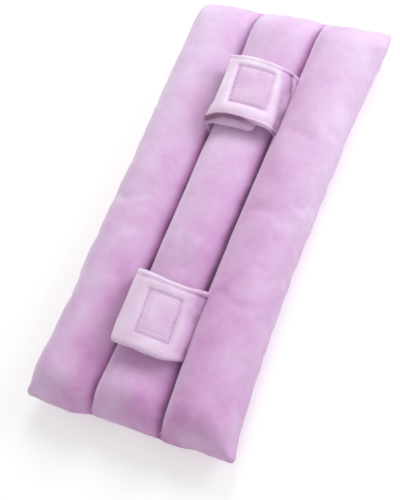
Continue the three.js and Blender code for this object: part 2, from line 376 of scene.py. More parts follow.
@dataclass(frozen=True)
class WaddingFinish:
    """White hollow-fibre wadding, a matt cloud of fine crimped fibres."""

    name: str
    light: str
    dark: str
    fibre_mm: float = 1.2
    clump_mm: float = 9.0
    relief_mm: float = 0.6

    def build(self) -> bpy.types.Material:
        """Make the material.

        Returns:
            The wadding.
        """
        material, tree = new_material(self.name)
        place = add_node(tree, "ShaderNodeTexCoord").outputs["Object"]
        clumps, fibres = (
            add_node(
                tree,
                "ShaderNodeTexNoise",
                values={"Scale": pattern_scale(size), "Detail": detail, "Distortion": bend},
                links={"Vector": place},
            ).outputs["Fac"]
            for size, detail, bend in ((self.clump_mm, 6.0, 1.5), (self.fibre_mm, 3.0, 2.5))
        )
        colour = add_node(
            tree,
            "ShaderNodeMix",
            settings={"data_type": "RGBA"},
            values={6: linear(self.dark), 7: linear(self.light)},
            links={0: clumps},
        ).outputs[2]
        values = {"Roughness": 1.0, "Specular IOR Level": 0.1, "Sheen Weight": 0.2}
        close_surface(tree, colour, fibres, (0.8, self.relief_mm), values)
        return material


COVER_PLUSH = PlushFinish(
    "cut_pile_plush_lilac",
    tip="#efdcf5",
    deep="#d093c9",
    deep_at=0.24,
    cloud_mm=19.0,
    painted_top_light=0.17,
    sheen=1.0,
)
TAB_PLUSH = PlushFinish(
    "cut_pile_plush_pale_lilac",
    tip="#faeafa",
    deep="#d9b0d7",
    # Painted shade colour for the tabs' hems, walls and roots.
    crease="#8c607f",
    clouding=0.5,
    cloud_mm=14.0,
    relief_mm=0.26,
    sheen=0.8,
)
HOOK_TAPE = TapeFinish(
    "woven_tape_with_hooks",
    light="#eadcf0",
    dark="#c9afd2",
    rib_mm=1.1,
    grain_mm=0.7,
    roughness=0.5,
)
PILE_TAPE = TapeFinish(
    "woven_tape_with_loop_pile",
    light="#f0e2f4",
    dark="#d5bfdd",
    rib_mm=1.6,
    grain_mm=1.1,
    roughness=0.9,
)
SEWING_THREAD = ThreadFinish("spun_sewing_thread", light="#e6cbe8", dark="#cfa9d2")
FIBRE_WADDING = WaddingFinish("hollow_fibre_wadding", light="#fbfbf8", dark="#e6e5e1")


def deselect_all() -> None:
    """Leave object mode's selection empty, so operators act on new pieces only."""
    if bpy.context.object and bpy.context.object.mode != "OBJECT":
        bpy.ops.object.mode_set(mode="OBJECT")
    bpy.ops.object.select_all(action="DESELECT")


def make_active(piece: bpy.types.Object) -> None:
    """Select one piece alone and make it the active one.

    Args:
        piece: the object.
    """
    deselect_all()
    piece.select_set(True)
    bpy.context.view_layer.objects.active = piece


@contextmanager
def editing(piece: bpy.types.Object) -> Iterator[None]:
    """Open a mesh in edit mode with all of it selected, and close it afterwards.

    Args:
        piece: the object.

    Yields:
        Nothing; the mesh is open meanwhile.
    """
    make_active(piece)
    bpy.ops.object.mode_set(mode="EDIT")
    bpy.ops.mesh.select_all(action="SELECT")
    yield
    bpy.ops.object.mode_set(mode="OBJECT")


def apply_modifier(piece: bpy.types.Object, kind: str, name: str, **settings: object) -> None:
    """Add a modifier, set it up and apply it.

    Args:
        piece: the object that gets it.
        kind: the modifier's type name.
        name: a plain name for it.
        settings: its attributes.
    """
    make_active(piece)
    modifier = piece.modifiers.new(name, kind)
    for key, value in settings.items():
        setattr(modifier, key, value)
    bpy.ops.object.modifier_apply(modifier=modifier.name)


def read_rows(items: bpy.types.bpy_prop_collection, name: str) -> np.ndarray:
    """Read a vector from each item of a mesh's list.

    Args:
        items: the list, such as the vertices.
        name: the vector's name.

    Returns:
        One row of three numbers for each item.
    """
    flat = np.empty(len(items) * 3)
    items.foreach_get(name, flat)
    return flat.reshape(-1, 3)


def vertices_of(piece: bpy.types.Object) -> np.ndarray:
    """Read a mesh's vertices in metres, one row each."""
    return read_rows(piece.data.vertices, "co")


def normals_of(piece: bpy.types.Object) -> np.ndarray:
    """Read a mesh's vertex normals, one row each."""
    return read_rows(piece.data.vertex_normals, "vector")


def set_vertices(piece: bpy.types.Object, points: np.ndarray) -> None:
    """Write a mesh's vertices in metres, one row each."""
    piece.data.vertices.foreach_set("co", np.ascontiguousarray(points, dtype=np.float64).ravel())
    piece.data.update()


def noise_at(points: np.ndarray, size_mm: float, seed: float) -> np.ndarray:
    """Sample smooth noise with features of a real size.

    Args:
        points: places in metres, one row each.
        size_mm: the size of its features.
        seed: an offset that picks another part of the noise.

    Returns:
        One value from -1 to 1 for each place.
    """
    scaled = points / (size_mm * MM)
    return np.array([noise.noise(Vector(p) + Vector((seed, seed * 1.7, -seed))) for p in scaled])


def noise_field(*axes: np.ndarray) -> np.ndarray:
    """Sample smooth noise over a field of places.

    Args:
        axes: the places' three coordinates, counted in features of the noise.

    Returns:
        One value from -1 to 1 for each place, in the coordinates' order.
    """
    places = np.stack(axes, axis=-1).reshape(-1, 3)
    return np.array([noise.noise(Vector(p)) for p in places]).reshape(axes[0].shape)


def rising(distance: np.ndarray | float, run: float) -> np.ndarray:
    """Rise evenly from 0 to 1 over a run, and stay within them."""
    return np.clip(distance / run, 0, 1)


def bell(distance: np.ndarray, width: float) -> np.ndarray:
    """Fall off softly on both sides of a line, from 1 on it."""
    return np.exp(-((distance / width) ** 2))


def fading(distance: np.ndarray, run: float) -> np.ndarray:
    """Die away from 1 with the distance from a seam."""
    return np.exp(-distance / run)


def paint_light_on_plush(piece: bpy.types.Object, painted_light: np.ndarray) -> None:
    """Record the painted light and shade at each vertex of a plush piece, for its finish to read.

    Args:
        piece: the mesh.
        painted_light: above 0 where light is painted, below 0 where shade is painted.
    """
    store = piece.data.attributes.get(PAINTED_LIGHT_ATTRIBUTE) or piece.data.attributes.new(PAINTED_LIGHT_ATTRIBUTE, "FLOAT", "POINT")
    store.data.foreach_set("value", np.ascontiguousarray(painted_light, dtype=np.float32).ravel())


def sewn_sheets(
    name: str, top: np.ndarray, bottom: np.ndarray, painted_light: np.ndarray | None = None
) -> bpy.types.Object:
    """Sew two sheets of cloth together round their rims into one closed form.

    A grid is cut to the sheets' counts, copied and turned over, both are wrapped onto their
    forms, and the rims, which lie on each other, are merged.

    Args:
        name: the new piece's name.
        top: places of the upper sheet in millimetres, by row and column.
        bottom: places of the lower sheet, in the same order.
        painted_light: the painted light and shade on both sheets, in the same order.

    Returns:
        The closed piece.
    """
    rows, columns = top.shape[:2]
    deselect_all()
    bpy.ops.mesh.primitive_grid_add(x_subdivisions=columns - 1, y_subdivisions=rows - 1, size=0.1)
    piece = bpy.context.object
    piece.name = piece.data.name = name
    with editing(piece):
        bpy.ops.mesh.duplicate()
        bpy.ops.mesh.flip_normals()
    set_vertices(piece, np.concatenate([top.reshape(-1, 3), bottom.reshape(-1, 3)]) * MM)
    if painted_light is not None:
        paint_light_on_plush(piece, painted_light)
    with editing(piece):
        bpy.ops.mesh.remove_doubles(threshold=0.01 * MM)
    bpy.ops.object.shade_smooth()
    return piece


def dress(piece: bpy.types.Object, finish: bpy.types.Material) -> None:
    """Give a piece its finish, attach it to the root body and report it.

    Args:
        piece: the finished object.
        finish: its material.
    """
    piece.data.materials.clear()
    piece.data.materials.append(finish)
    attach(piece, ROOT_BODY)
    log.info("%s: %d vertices", piece.name, len(piece.data.vertices))


def graded(length: float, edge: float, edge_steps: int, step: float) -> np.ndarray:
    """Places along a length, close together at both ends.

    Args:
        length: the whole length.
        edge: how much of each end is close-set.
        edge_steps: how many steps that end takes.
        step: the step in between.

    Returns:
        Places from 0 to the length.
    """
    near = edge * (1 - np.cos(np.linspace(0, math.pi / 2, edge_steps + 1)))
    count = max(2, round((length - 2 * edge) / step))
    middle = np.linspace(edge, length - edge, count + 1)[1:-1]
    return np.concatenate([near, middle, length - near[::-1]])


def eased(places: np.ndarray, knots: Knots, ease: float) -> np.ndarray:
    """Read a drawn edge's offset at places along it, eased between its knots.

    Args:
        places: places along the edge.
        knots: places and offsets that the edge passes near.
        ease: how far each knot's corner is rounded off.

    Returns:
        The offset at each place.
    """
    table = np.linspace(knots[0][0] - 4 * ease, knots[-1][0] + 4 * ease, 200)
    straight = np.interp(table, *np.array(knots).T)
    spread = np.exp(-(((table[:, None] - table[None, :]) / ease) ** 2))
    return np.interp(places, table, spread @ straight / spread.sum(axis=1))


def opening(distance: np.ndarray | float, run: float) -> np.ndarray:
    """Quarter ellipse from 0 to 1: how a stuffed form opens from a seam.

    Args:
        distance: how far from the seam.
        run: where it is fully open.

    Returns:
        The share of its full height.
    """
    return np.sqrt(1 - (1 - np.clip(np.asarray(distance) / run, 0, 1)) ** 2)


@dataclass
class LoopPlace:
    """Where a loop crosses the pad, and how its tabs lie."""

    name: str
    centre: float
    tab_width: float
    belt_room: float
    arch_radius: float
    inner_shift: float
    patch_shift: float


UPPER_LOOP = LoopPlace(
    "upper",
    centre=74.5,
    tab_width=43.0,
    belt_room=5.0,
    arch_radius=42.0,
    inner_shift=-3.5,
    patch_shift=0.0,
)
LOWER_LOOP = LoopPlace(
    "lower",
    centre=-75.0,
    tab_width=47.0,
    belt_room=4.9,
    arch_radius=40.0,
    inner_shift=0.0,
    patch_shift=-3.0,
)


@dataclass
class PadForm:
    """Sizes of the stuffed pad and the sections that follow from them.

    Pairs give the upper and the low end. Sets of four give the top left, top right, low left
    and low right corner.
    """

    pitch: float = 43.0
    length: float = 284.0
    crown: float = 20.0
    back: float = 15.0
    back_sag: float = 2.0
    back_softness: float = 1.6
    roundness: float = 2.1
    groove_roundness: float = 2.5
    groove: float = 1.6
    groove_bulge: float = 1.3
    bulge_height: float = 6.5
    bulge_spread: float = 4.0
    bulge_gap: float = 0.2
    groove_ease: float = 12.0
    left_wander: Knots = (
        (-142.0, -0.3), (-110.0, 0.5), (-30.0, 2.0), (10.0, 2.4), (60.0, 1.6), (120.0, 0.2),
    )
    right_wander: Knots = (
        (-142.0, 4.0), (-122.0, 4.2), (-100.0, 2.4), (-60.0, 0.4), (0.0, 0.3), (60.0, 1.0),
        (100.0, 2.4),
    )
    end_run: float = 22.0
    end_fullness: float = 1.6
    corners: tuple[float, float] = (2.5, 5.0)
    waist_power: float = 2.1
    flares: tuple[float, float, float, float] = (1.4, 4.9, 2.7, 6.6)
    ears: tuple[float, float, float, float] = (0.6, 0.0, 2.8, 4.2)
    ear_run: float = 9.0
    top_end: tuple[float, float] = (143.1, -0.0175)
    low_end: tuple[float, float] = (139.8, -0.0147)
    end_ease: float = 4.0
    top_wave: Knots = (
        (-60.0, 0.0), (-22.0, 0.3), (22.0, 0.3), (36.0, -1.0), (56.0, -0.9), (68.0, 0.0),
    )
    low_wave: Knots = (
        (-66.0, 0.2), (-50.0, 1.7), (-33.0, 1.8), (-22.0, 0.0), (-14.0, -0.4), (22.0, 0.2),
        (32.0, 0.9), (50.0, -0.4), (66.0, 0.0),
    )
    seam_height: float = 1.35
    seam_rise: float = 4.0
    thread_bed: float = 0.55
    press_depth: float = 3.0
    press_margin: float = 2.0
    press_run: float = 24.0
    arc_steps: int = 20
    row_steps: tuple[int, float] = (11, 3.1)
    loops: tuple[LoopPlace, ...] = (UPPER_LOOP, LOWER_LOOP)

    def from_end(self, y: np.ndarray) -> np.ndarray:
        """How far places along the pad lie from its nearer end, before it runs askew."""
        return self.length / 2 - np.abs(y)

    def outline(self, y: np.ndarray) -> tuple[np.ndarray, np.ndarray]:
        """The sides of the pad's outline.

        Args:
            y: places along the pad.

        Returns:
            The left and the right side's place across it at each.
        """
        top_left, top_right, low_left, low_right = self.flares
        share = np.abs(2 * y / self.length) ** self.waist_power
        corner = np.where(y > 0, *self.corners)
        loss = corner * (1 - opening(self.from_end(y), corner))
        half = 1.5 * self.pitch
        ear = fading(self.from_end(y), self.ear_run)
        ears = [np.where(y > 0, self.ears[k], self.ears[k + 2]) * ear for k in (0, 1)]
        left = -half - np.where(y > 0, top_left, low_left) * share - ears[0] + loss
        right = half + np.where(y > 0, top_right, low_right) * share + ears[1] - loss
        return left, right

    def groove_at(self, groove: Groove, y: np.ndarray) -> np.ndarray:
        """Where a sewn groove runs across the pad, as it wanders along it."""
        wander = self.left_wander if groove is Groove.LEFT else self.right_wander
        return groove.value * self.pitch / 2 + eased(y, wander, self.groove_ease)

    def skewed(self, x: np.ndarray, y: np.ndarray) -> np.ndarray:
        """Let the hand-sewn ends run a little askew.

        Args:
            x: places across the pad.
            y: places along it, as if the ends were cut square.

        Returns:
            The places along it as they are sewn.
        """
        top, low = (end[0] + end[1] * x for end in (self.top_end, self.low_end))
        top = top + eased(x, self.top_wave, self.end_ease)
        low = low + eased(x, self.low_wave, self.end_ease)
        return y * np.where(y > 0, top, low) / (self.length / 2)

    def press(self, y: np.ndarray) -> np.ndarray:
        """How far the loops press the centre channel down.

        Args:
            y: places along the pad.

        Returns:
            The depth of the press at each.
        """
        shares = []
        for loop in self.loops:
            past = np.abs(y - loop.centre) - loop.tab_width / 2 - self.press_margin
            shares.append((1 + np.cos(np.pi * rising(past, self.press_run))) / 2)
        return self.press_depth * np.maximum.reduce(shares)

    def rows(self) -> np.ndarray:
        """Places along the pad where the cover's grid has a row."""
        return graded(self.length, self.end_run, *self.row_steps) - self.length / 2

    def sheet(self, face: Face) -> np.ndarray:
        """The outer surface of one cover panel.

        Args:
            face: which panel.

        Returns:
            Places in millimetres from the seam plane's middle, by row and column.
        """
        y = self.rows()
        left, right = self.outline(y)
        valleys = [self.groove_at(groove, y) for groove in Groove]
        half_groove = self.groove / 2
        spans = [
            (left, valleys[0] - half_groove),
            (valleys[0] + half_groove, valleys[1] - half_groove),
            (valleys[1] + half_groove, right),
        ]
        share = opening(self.from_end(y), self.end_run) ** self.end_fullness
        lift = self.seam_height * rising(self.from_end(y), self.seam_rise)
        columns_x, columns_z = [], []
        for channel, span in enumerate(spans):
            x, height = self.channel(face, channel, span, y, share, lift)
            columns_x.append(x)
            columns_z.append(height)
            if channel < 2:
                columns_x.append(valleys[channel][:, None])
                columns_z.append((lift * self.thread_bed)[:, None])
        x = np.concatenate(columns_x, axis=1)
        z = np.concatenate(columns_z, axis=1)
        if face is Face.BACK:
            z = self.flattened(z)
        grid_y = self.skewed(x, np.repeat(y[:, None], x.shape[1], axis=1))
        return np.stack([x, grid_y, face.value * z], axis=2)

    def channel(
        self,
        face: Face,
        channel: int,
        span: tuple[np.ndarray, np.ndarray],
        y: np.ndarray,
        share: np.ndarray,
        lift: np.ndarray,
    ) -> tuple[np.ndarray, np.ndarray]:
        """One stuffed channel's sections, by row and column.

        Args:
            face: which panel.
            channel: 0 for the left one, 1 for the centre one and 2 for the right one.
            span: where it starts and stops across the pad in each row.
            y: the rows' places along the pad.
            share: how full the pad is in each row.
            lift: how high the grooves' seams lie in each row.

        Returns:
            Places across the pad, and heights over the seam plane.
        """
        angles = np.linspace(0, math.pi, self.arc_steps + 1)
        sewn = (channel > 0, channel < 2)
        power = np.where(
            np.where(np.cos(angles) > 0, *sewn), self.groove_roundness, self.roundness
        )
        across = np.sign(np.cos(angles)) * np.abs(np.cos(angles)) ** (2 / power)
        up = np.abs(np.sin(angles)) ** (2 / power)
        full = self.crown if face is Face.FRONT else self.back + self.back_sag
        pressed = self.press(y) if face is Face.FRONT and channel == 1 else 0.0
        rise = (full - pressed) * share
        middle, half = (span[0] + span[1]) / 2, (span[1] - span[0]) / 2
        base = lift[:, None] * np.ones_like(up)[None, :]
        # The outer channels' seams come down to the edge of the pad.
        if channel == 0:
            base = base * np.linspace(0, 1, len(up))[None, :]
        if channel == 2:
            base = base * np.linspace(0, 1, len(up))[::-1][None, :]
        height = base + (rise[:, None] - base).clip(0) * up[None, :]
        # Next to a seam the stuffing pushes the flank out until the channels touch.
        bulge = self.groove_bulge * bell(height - self.bulge_height, self.bulge_spread)
        bulge = bulge * share[:, None]
        reach = np.minimum(bulge, self.groove / 2 - self.bulge_gap)
        reach = reach * np.where(np.cos(angles) > 0, *sewn)
        x = (
            middle[:, None]
            - half[:, None] * across[None, :]
            - reach * np.sign(np.round(np.cos(angles), 6))[None, :]
        )
        return x, height

    def flattened(self, depth: np.ndarray) -> np.ndarray:
        """Cut the back's depth off softly where the floor holds it.

        Args:
            depth: how far the back's places lie under the seam plane.

        Returns:
            The depths, none of them past the floor.
        """
        soft = self.back_softness
        gap = np.clip((soft - np.abs(depth - self.back)) / soft, 0, 1)
        return np.minimum(depth, self.back) - gap * gap * soft * 0.25 * (depth > self.back - soft)

    def past_valley(self, points: np.ndarray) -> np.ndarray:
        """How far places lie to the right of the nearest sewn groove, in millimetres."""
        left, right = (points[:, 0] - self.groove_at(groove, points[:, 1]) for groove in Groove)
        return np.where(points[:, 0] < 0, left, right)

    def valley_distance(self, points: np.ndarray) -> np.ndarray:
        """How far places lie across from the nearest sewn groove, in millimetres."""
        return np.abs(self.past_valley(points))


@dataclass
class Cushion:
    """The plush cover, blown up by its wadding, with the puckers that its seams make.

    Lumps and gathers are given by their height, their size and the part of the noise they use.
    """

    form: PadForm
    pressure: float = 14.0
    spare_cloth: float = 0.02
    cloth_frames: int = 14
    pin_reach: tuple[float, float, float] = (0.05, 0.9, 1.6)
    swell_cap: float = 1.4
    taut_flank: tuple[float, float, float] = (3.0, 9.0, 0.1)
    held_down: float = 0.85
    lumps: tuple[tuple[float, float, float], ...] = ((0.9, 46.0, 3.1), (0.45, 19.0, 8.4))
    lump_rim: float = 12.0
    lump_groove: tuple[float, float] = (3.0, 10.0)
    groove_gathers: tuple[float, float, float] = (0.3, 5.5, 21.0)
    rim_gathers: tuple[float, float, float] = (0.9, 6.5, 33.0)
    gather_reach: tuple[float, float, float] = (4.0, 6.0, 1.2)
    tugs: tuple[float, float] = (0.3, 0.7)
    tug_reach: tuple[float, float] = (2.4, 6.0)
    edge_crease: tuple[float, float, float] = (0.5, 1.6, 3.0)
    valley_gap: float = 0.12
    valley_floor: float = 0.15
    # Painted shade in the sewn grooves and along the edge seam, and painted light and shade across
    # the channels' flanks on the front.
    groove_shade: float = 0.55
    groove_shade_width: float = 2.6
    groove_shade_top: tuple[float, float] = (15.0, 7.0)
    low_slack: tuple[float, float] = (70.0, 0.45)
    top_slack: tuple[float, float] = (50.0, 0.35)
    flank_light_ease: float = 3.0
    flank_light: Knots = (
        (-68.0, 0.12), (-50.0, 0.11), (-38.0, 0.03), (-28.0, -0.1), (-20.0, 0.0), (-8.0, 0.05),
        (13.0, -0.1), (22.0, -0.05), (31.0, -0.16), (41.0, -0.13), (50.0, -0.03), (60.0, 0.02),
    )
    rim_shade: float = 0.2
    rim_shade_reach: tuple[float, float, float] = (1.8, 9.0, 2.0)

    def build(self, finish: bpy.types.Material) -> None:
        """Make the cover.

        Args:
            finish: the plush.
        """
        cover = sewn_sheets(
            "plush_cover", self.form.sheet(Face.FRONT), self.form.sheet(Face.BACK)
        )
        self.inflate(cover)
        self.work_in_seams(cover)
        apply_modifier(
            cover, "SUBSURF", "smooth_cloth", levels=1, render_levels=1, boundary_smooth="ALL"
        )
        self.settle(cover)
        self.paint_light_and_shade(cover)
        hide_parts("front_cover_panel", "back_cover_panel")
        dress(cover, finish)

    def pin(self, cover: bpy.types.Object, points: np.ndarray) -> str:
        """Hold the cover's sewn lines, so that only the cloth between them swells.

        Args:
            cover: the sewn form.
            points: its places in millimetres from the seam plane's middle.

        Returns:
            The name of the group that holds them.
        """
        rim, across, high = self.pin_reach
        height = np.abs(points[:, 2])
        on_rim = height < rim
        on_groove = (self.form.valley_distance(points) < across) & (height < high)
        on_end = self.form.from_end(points[:, 1]) < rim
        group = cover.vertex_groups.new(name="sewn")
        group.add(np.nonzero(on_rim | on_groove | on_end)[0].tolist(), 1.0, "REPLACE")
        return group.name

    def inflate(self, cover: bpy.types.Object) -> None:
        """Let the wadding press the cloth out between its sewn lines.

        Args:
            cover: the sewn form, before its puckers.
        """
        before = vertices_of(cover)
        points = before / MM
        sewn = self.pin(cover, points)
        make_active(cover)
        modifier = cover.modifiers.new("inflate", "CLOTH")
        cloth = modifier.settings
        cloth.quality = 6
        cloth.mass = 0.15
        cloth.tension_stiffness = 12
        cloth.compression_stiffness = 12
        cloth.shear_stiffness = 4
        cloth.bending_stiffness = 0.4
        cloth.vertex_group_mass = sewn
        cloth.use_pressure = True
        cloth.uniform_pressure_force = self.pressure
        cloth.shrink_min = -self.spare_cloth
        cloth.effector_weights.gravity = 0
        modifier.collision_settings.use_collision = False
        scene = bpy.context.scene
        for frame in range(1, self.cloth_frames + 1):
            scene.frame_set(frame)
        bpy.ops.object.modifier_apply(modifier=modifier.name)
        scene.frame_set(1)
        moved = vertices_of(cover) - before
        reach = np.linalg.norm(moved, axis=1)
        log.info("swell: mean %.2f mm, most %.2f mm", reach.mean() / MM, reach.max() / MM)
        cap = self.swell_cap * MM
        keep = np.where(reach > 1e-9, cap * np.tanh(reach / cap) / np.maximum(reach, 1e-9), 1)
        # Close to a sewn groove the cloth is drawn too tight to wave.
        taut, run, least = self.taut_flank
        keep *= np.clip((self.form.valley_distance(points) - taut) / run, least, 1)
        # Under the loops, and a little way past them, the centre channel is held down.
        held = self.form.press(points[:, 1]) / self.form.press_depth
        keep *= 1 - self.held_down * held * (np.abs(points[:, 0]) < self.form.pitch / 2)
        set_vertices(cover, before + moved * keep[:, None])
        cover.vertex_groups.clear()

    def work_in_seams(self, cover: bpy.types.Object) -> None:
        """Add the lumps of the wadding and the puckers along the seams.

        Args:
            cover: the inflated form.
        """
        points = vertices_of(cover)
        normals = normals_of(cover)
        place = points / MM
        from_end = self.form.from_end(place[:, 1])
        left, right = self.form.outline(place[:, 1])
        from_side = np.minimum(place[:, 0] - left, right - place[:, 0]) + np.abs(place[:, 2])
        from_rim = np.minimum(np.hypot(from_end, place[:, 2] * 0.6), from_side)
        from_groove = np.hypot(self.form.valley_distance(place), np.abs(place[:, 2]) * 0.5)
        clear, run = self.lump_groove
        lumps = sum(height * noise_at(points, size, seed) for height, size, seed in self.lumps)
        lumps *= rising(from_rim, self.lump_rim) * rising(from_groove - clear, run)
        # Puckers run across a seam, so they vary along it and hardly across it.
        near_groove, near_rim, seam = self.gather_reach
        height, size, seed = self.groove_gathers
        along = points * np.array([0.25, 1.0, 0.25])
        gathers = height * noise_at(along, size, seed) * fading(from_groove, near_groove)
        height, size, seed = self.rim_gathers
        around = points * np.array([1.0, 1.0, 0.2])
        gathers += height * noise_at(around, size, seed) * fading(from_rim, near_rim)
        gathers *= rising(np.minimum(from_rim, from_groove), seam)
        moved = points + normals * ((lumps + gathers) * MM)[:, None]
        # The channel seams pull the ends in a little where they stop.
        across, inwards = self.tug_reach
        tug = bell(self.form.valley_distance(place), across) * fading(from_end, inwards)
        depth = np.where(place[:, 1] > 0, *self.tugs)
        moved[:, 1] -= np.sign(place[:, 1]) * tug * depth * MM
        # The front and back close on each other in a sewn crease round the edge.
        deep, high, inwards = self.edge_crease
        crease = bell(place[:, 2], high) * fading(np.maximum(from_side, 0), inwards)
        moved[:, 0] -= np.sign(place[:, 0]) * crease * deep * MM
        self.part_channels(place, moved)
        set_vertices(cover, moved)

    def part_channels(self, place: np.ndarray, moved: np.ndarray) -> None:
        """Press neighbouring channels flat against each other, so that they never cross.

        Args:
            place: the cover's places in millimetres before they were moved.
            moved: the places in metres, which this changes.
        """
        past = self.form.past_valley(place)
        valley = place[:, 0] - past
        right_of = np.maximum(moved[:, 0], (valley + self.valley_gap) * MM)
        left_of = np.minimum(moved[:, 0], (valley - self.valley_gap) * MM)
        in_valley = np.where(past < -self.valley_floor, left_of, moved[:, 0])
        moved[:, 0] = np.where(past > self.valley_floor, right_of, in_valley)

    def settle(self, cover: bpy.types.Object) -> None:
        """Stand the cover on the floor and keep its underside flat there.

        Args:
            cover: the smoothed form.
        """
        points = vertices_of(cover)
        points[:, 2] = np.maximum(points[:, 2] + self.form.back * MM, 0)
        set_vertices(cover, points)

    def paint_light_and_shade(self, cover: bpy.types.Object) -> None:
        """Paint shade in the grooves and at the edge seam, and light and shade on the flanks.

        Args:
            cover: the finished form.
        """
        place = vertices_of(cover) / MM
        place[:, 2] -= self.form.back
        height = np.abs(place[:, 2])
        # Painted shade in the sewn grooves, below the crowns.
        top, run = self.groove_shade_top
        groove = bell(self.form.valley_distance(place), self.groove_shade_width)
        groove *= rising(top - height, run)
        # Towards both ends the seams are slacker, and less shade is painted in their grooves.
        half = self.form.length / 2
        for way, (run, least) in ((1, self.low_slack), (-1, self.top_slack)):
            groove *= np.clip((half + way * place[:, 1]) / run, least, 1)
        left, right = self.form.outline(place[:, 1])
        from_side = np.minimum(place[:, 0] - left, right - place[:, 0])
        from_edge = np.minimum(from_side, self.form.from_end(place[:, 1]))
        # Painted shade along the edge seam, where the front and back close on each other.
        high, widest, inwards = self.rim_shade_reach
        rim = bell(height, high) * fading(np.clip(from_edge, 0, widest), inwards)
        # Painted light and shade across the front, lighter or darker on the channels' flanks.
        painted_flank_light = eased(place[:, 0], self.flank_light, self.flank_light_ease) * (place[:, 2] > 0)
        paint_light_on_plush(cover, painted_flank_light - self.groove_shade * groove - self.rim_shade * rim)


@dataclass
class Wadding:
    """The fibre filling of each channel, a soft bolster inside the cover."""

    form: PadForm
    inset: float = 2.4
    arc_steps: int = 12
    end_rows: int = 3
    flattening: tuple[float, float] = (6.0, 0.97)
    roughness: tuple[float, float, float] = (0.5, 9.0, 5.0)
    names: tuple[str, str, str] = ("left", "centre", "right")

    def build(self, finish: bpy.types.Material) -> None:
        """Make the three fillings.

        Args:
            finish: the fibre wadding.
        """
        slim = replace(self.form, arc_steps=self.arc_steps)
        sheets = slim.sheet(Face.FRONT), slim.sheet(Face.BACK)
        width = slim.arc_steps + 1
        inner = slice(self.end_rows, -self.end_rows)
        for channel, name in enumerate(self.names):
            start = channel * (width + 1)
            top, bottom = (sheet[inner, start : start + width] for sheet in sheets)
            piece = self.bolster(f"{name}_wadding", top, bottom)
            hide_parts(f"{name}_channel_wadding")
            dress(piece, finish)

    def bolster(self, name: str, top: np.ndarray, bottom: np.ndarray) -> bpy.types.Object:
        """Shrink a channel's form by the cover's thickness and roughen it.

        Args:
            name: the piece's name.
            top: the channel's front surface.
            bottom: the channel's back surface.

        Returns:
            The closed bolster.
        """
        middle_x = (top[:, :1, 0] + top[:, -1:, 0]) / 2
        half = (top[:, -1:, 0] - top[:, :1, 0]) / 2
        squeeze = (half - self.inset) / half
        run, flat = self.flattening
        forms = []
        for sheet in (top.copy(), bottom.copy()):
            sheet[:, :, 0] = middle_x + (sheet[:, :, 0] - middle_x) * squeeze
            height = np.abs(sheet[:, :, 2])
            slim = np.maximum(height - self.inset * rising(height, run), 0) * flat
            sheet[:, :, 2] = np.sign(sheet[:, :, 2]) * slim
            sheet[:, [0, -1], 2] = 0
            forms.append(sheet)
        forms[1][0], forms[1][-1] = forms[0][0], forms[0][-1]
        piece = sewn_sheets(name, *forms)
        points = vertices_of(piece)
        depth, size, seed = self.roughness
        rough = -depth * np.abs(noise_at(points, size, seed))
        points = points + normals_of(piece) * (rough * MM)[:, None]
        points[:, 2] += self.form.back * MM
        set_vertices(piece, points)
        return piece


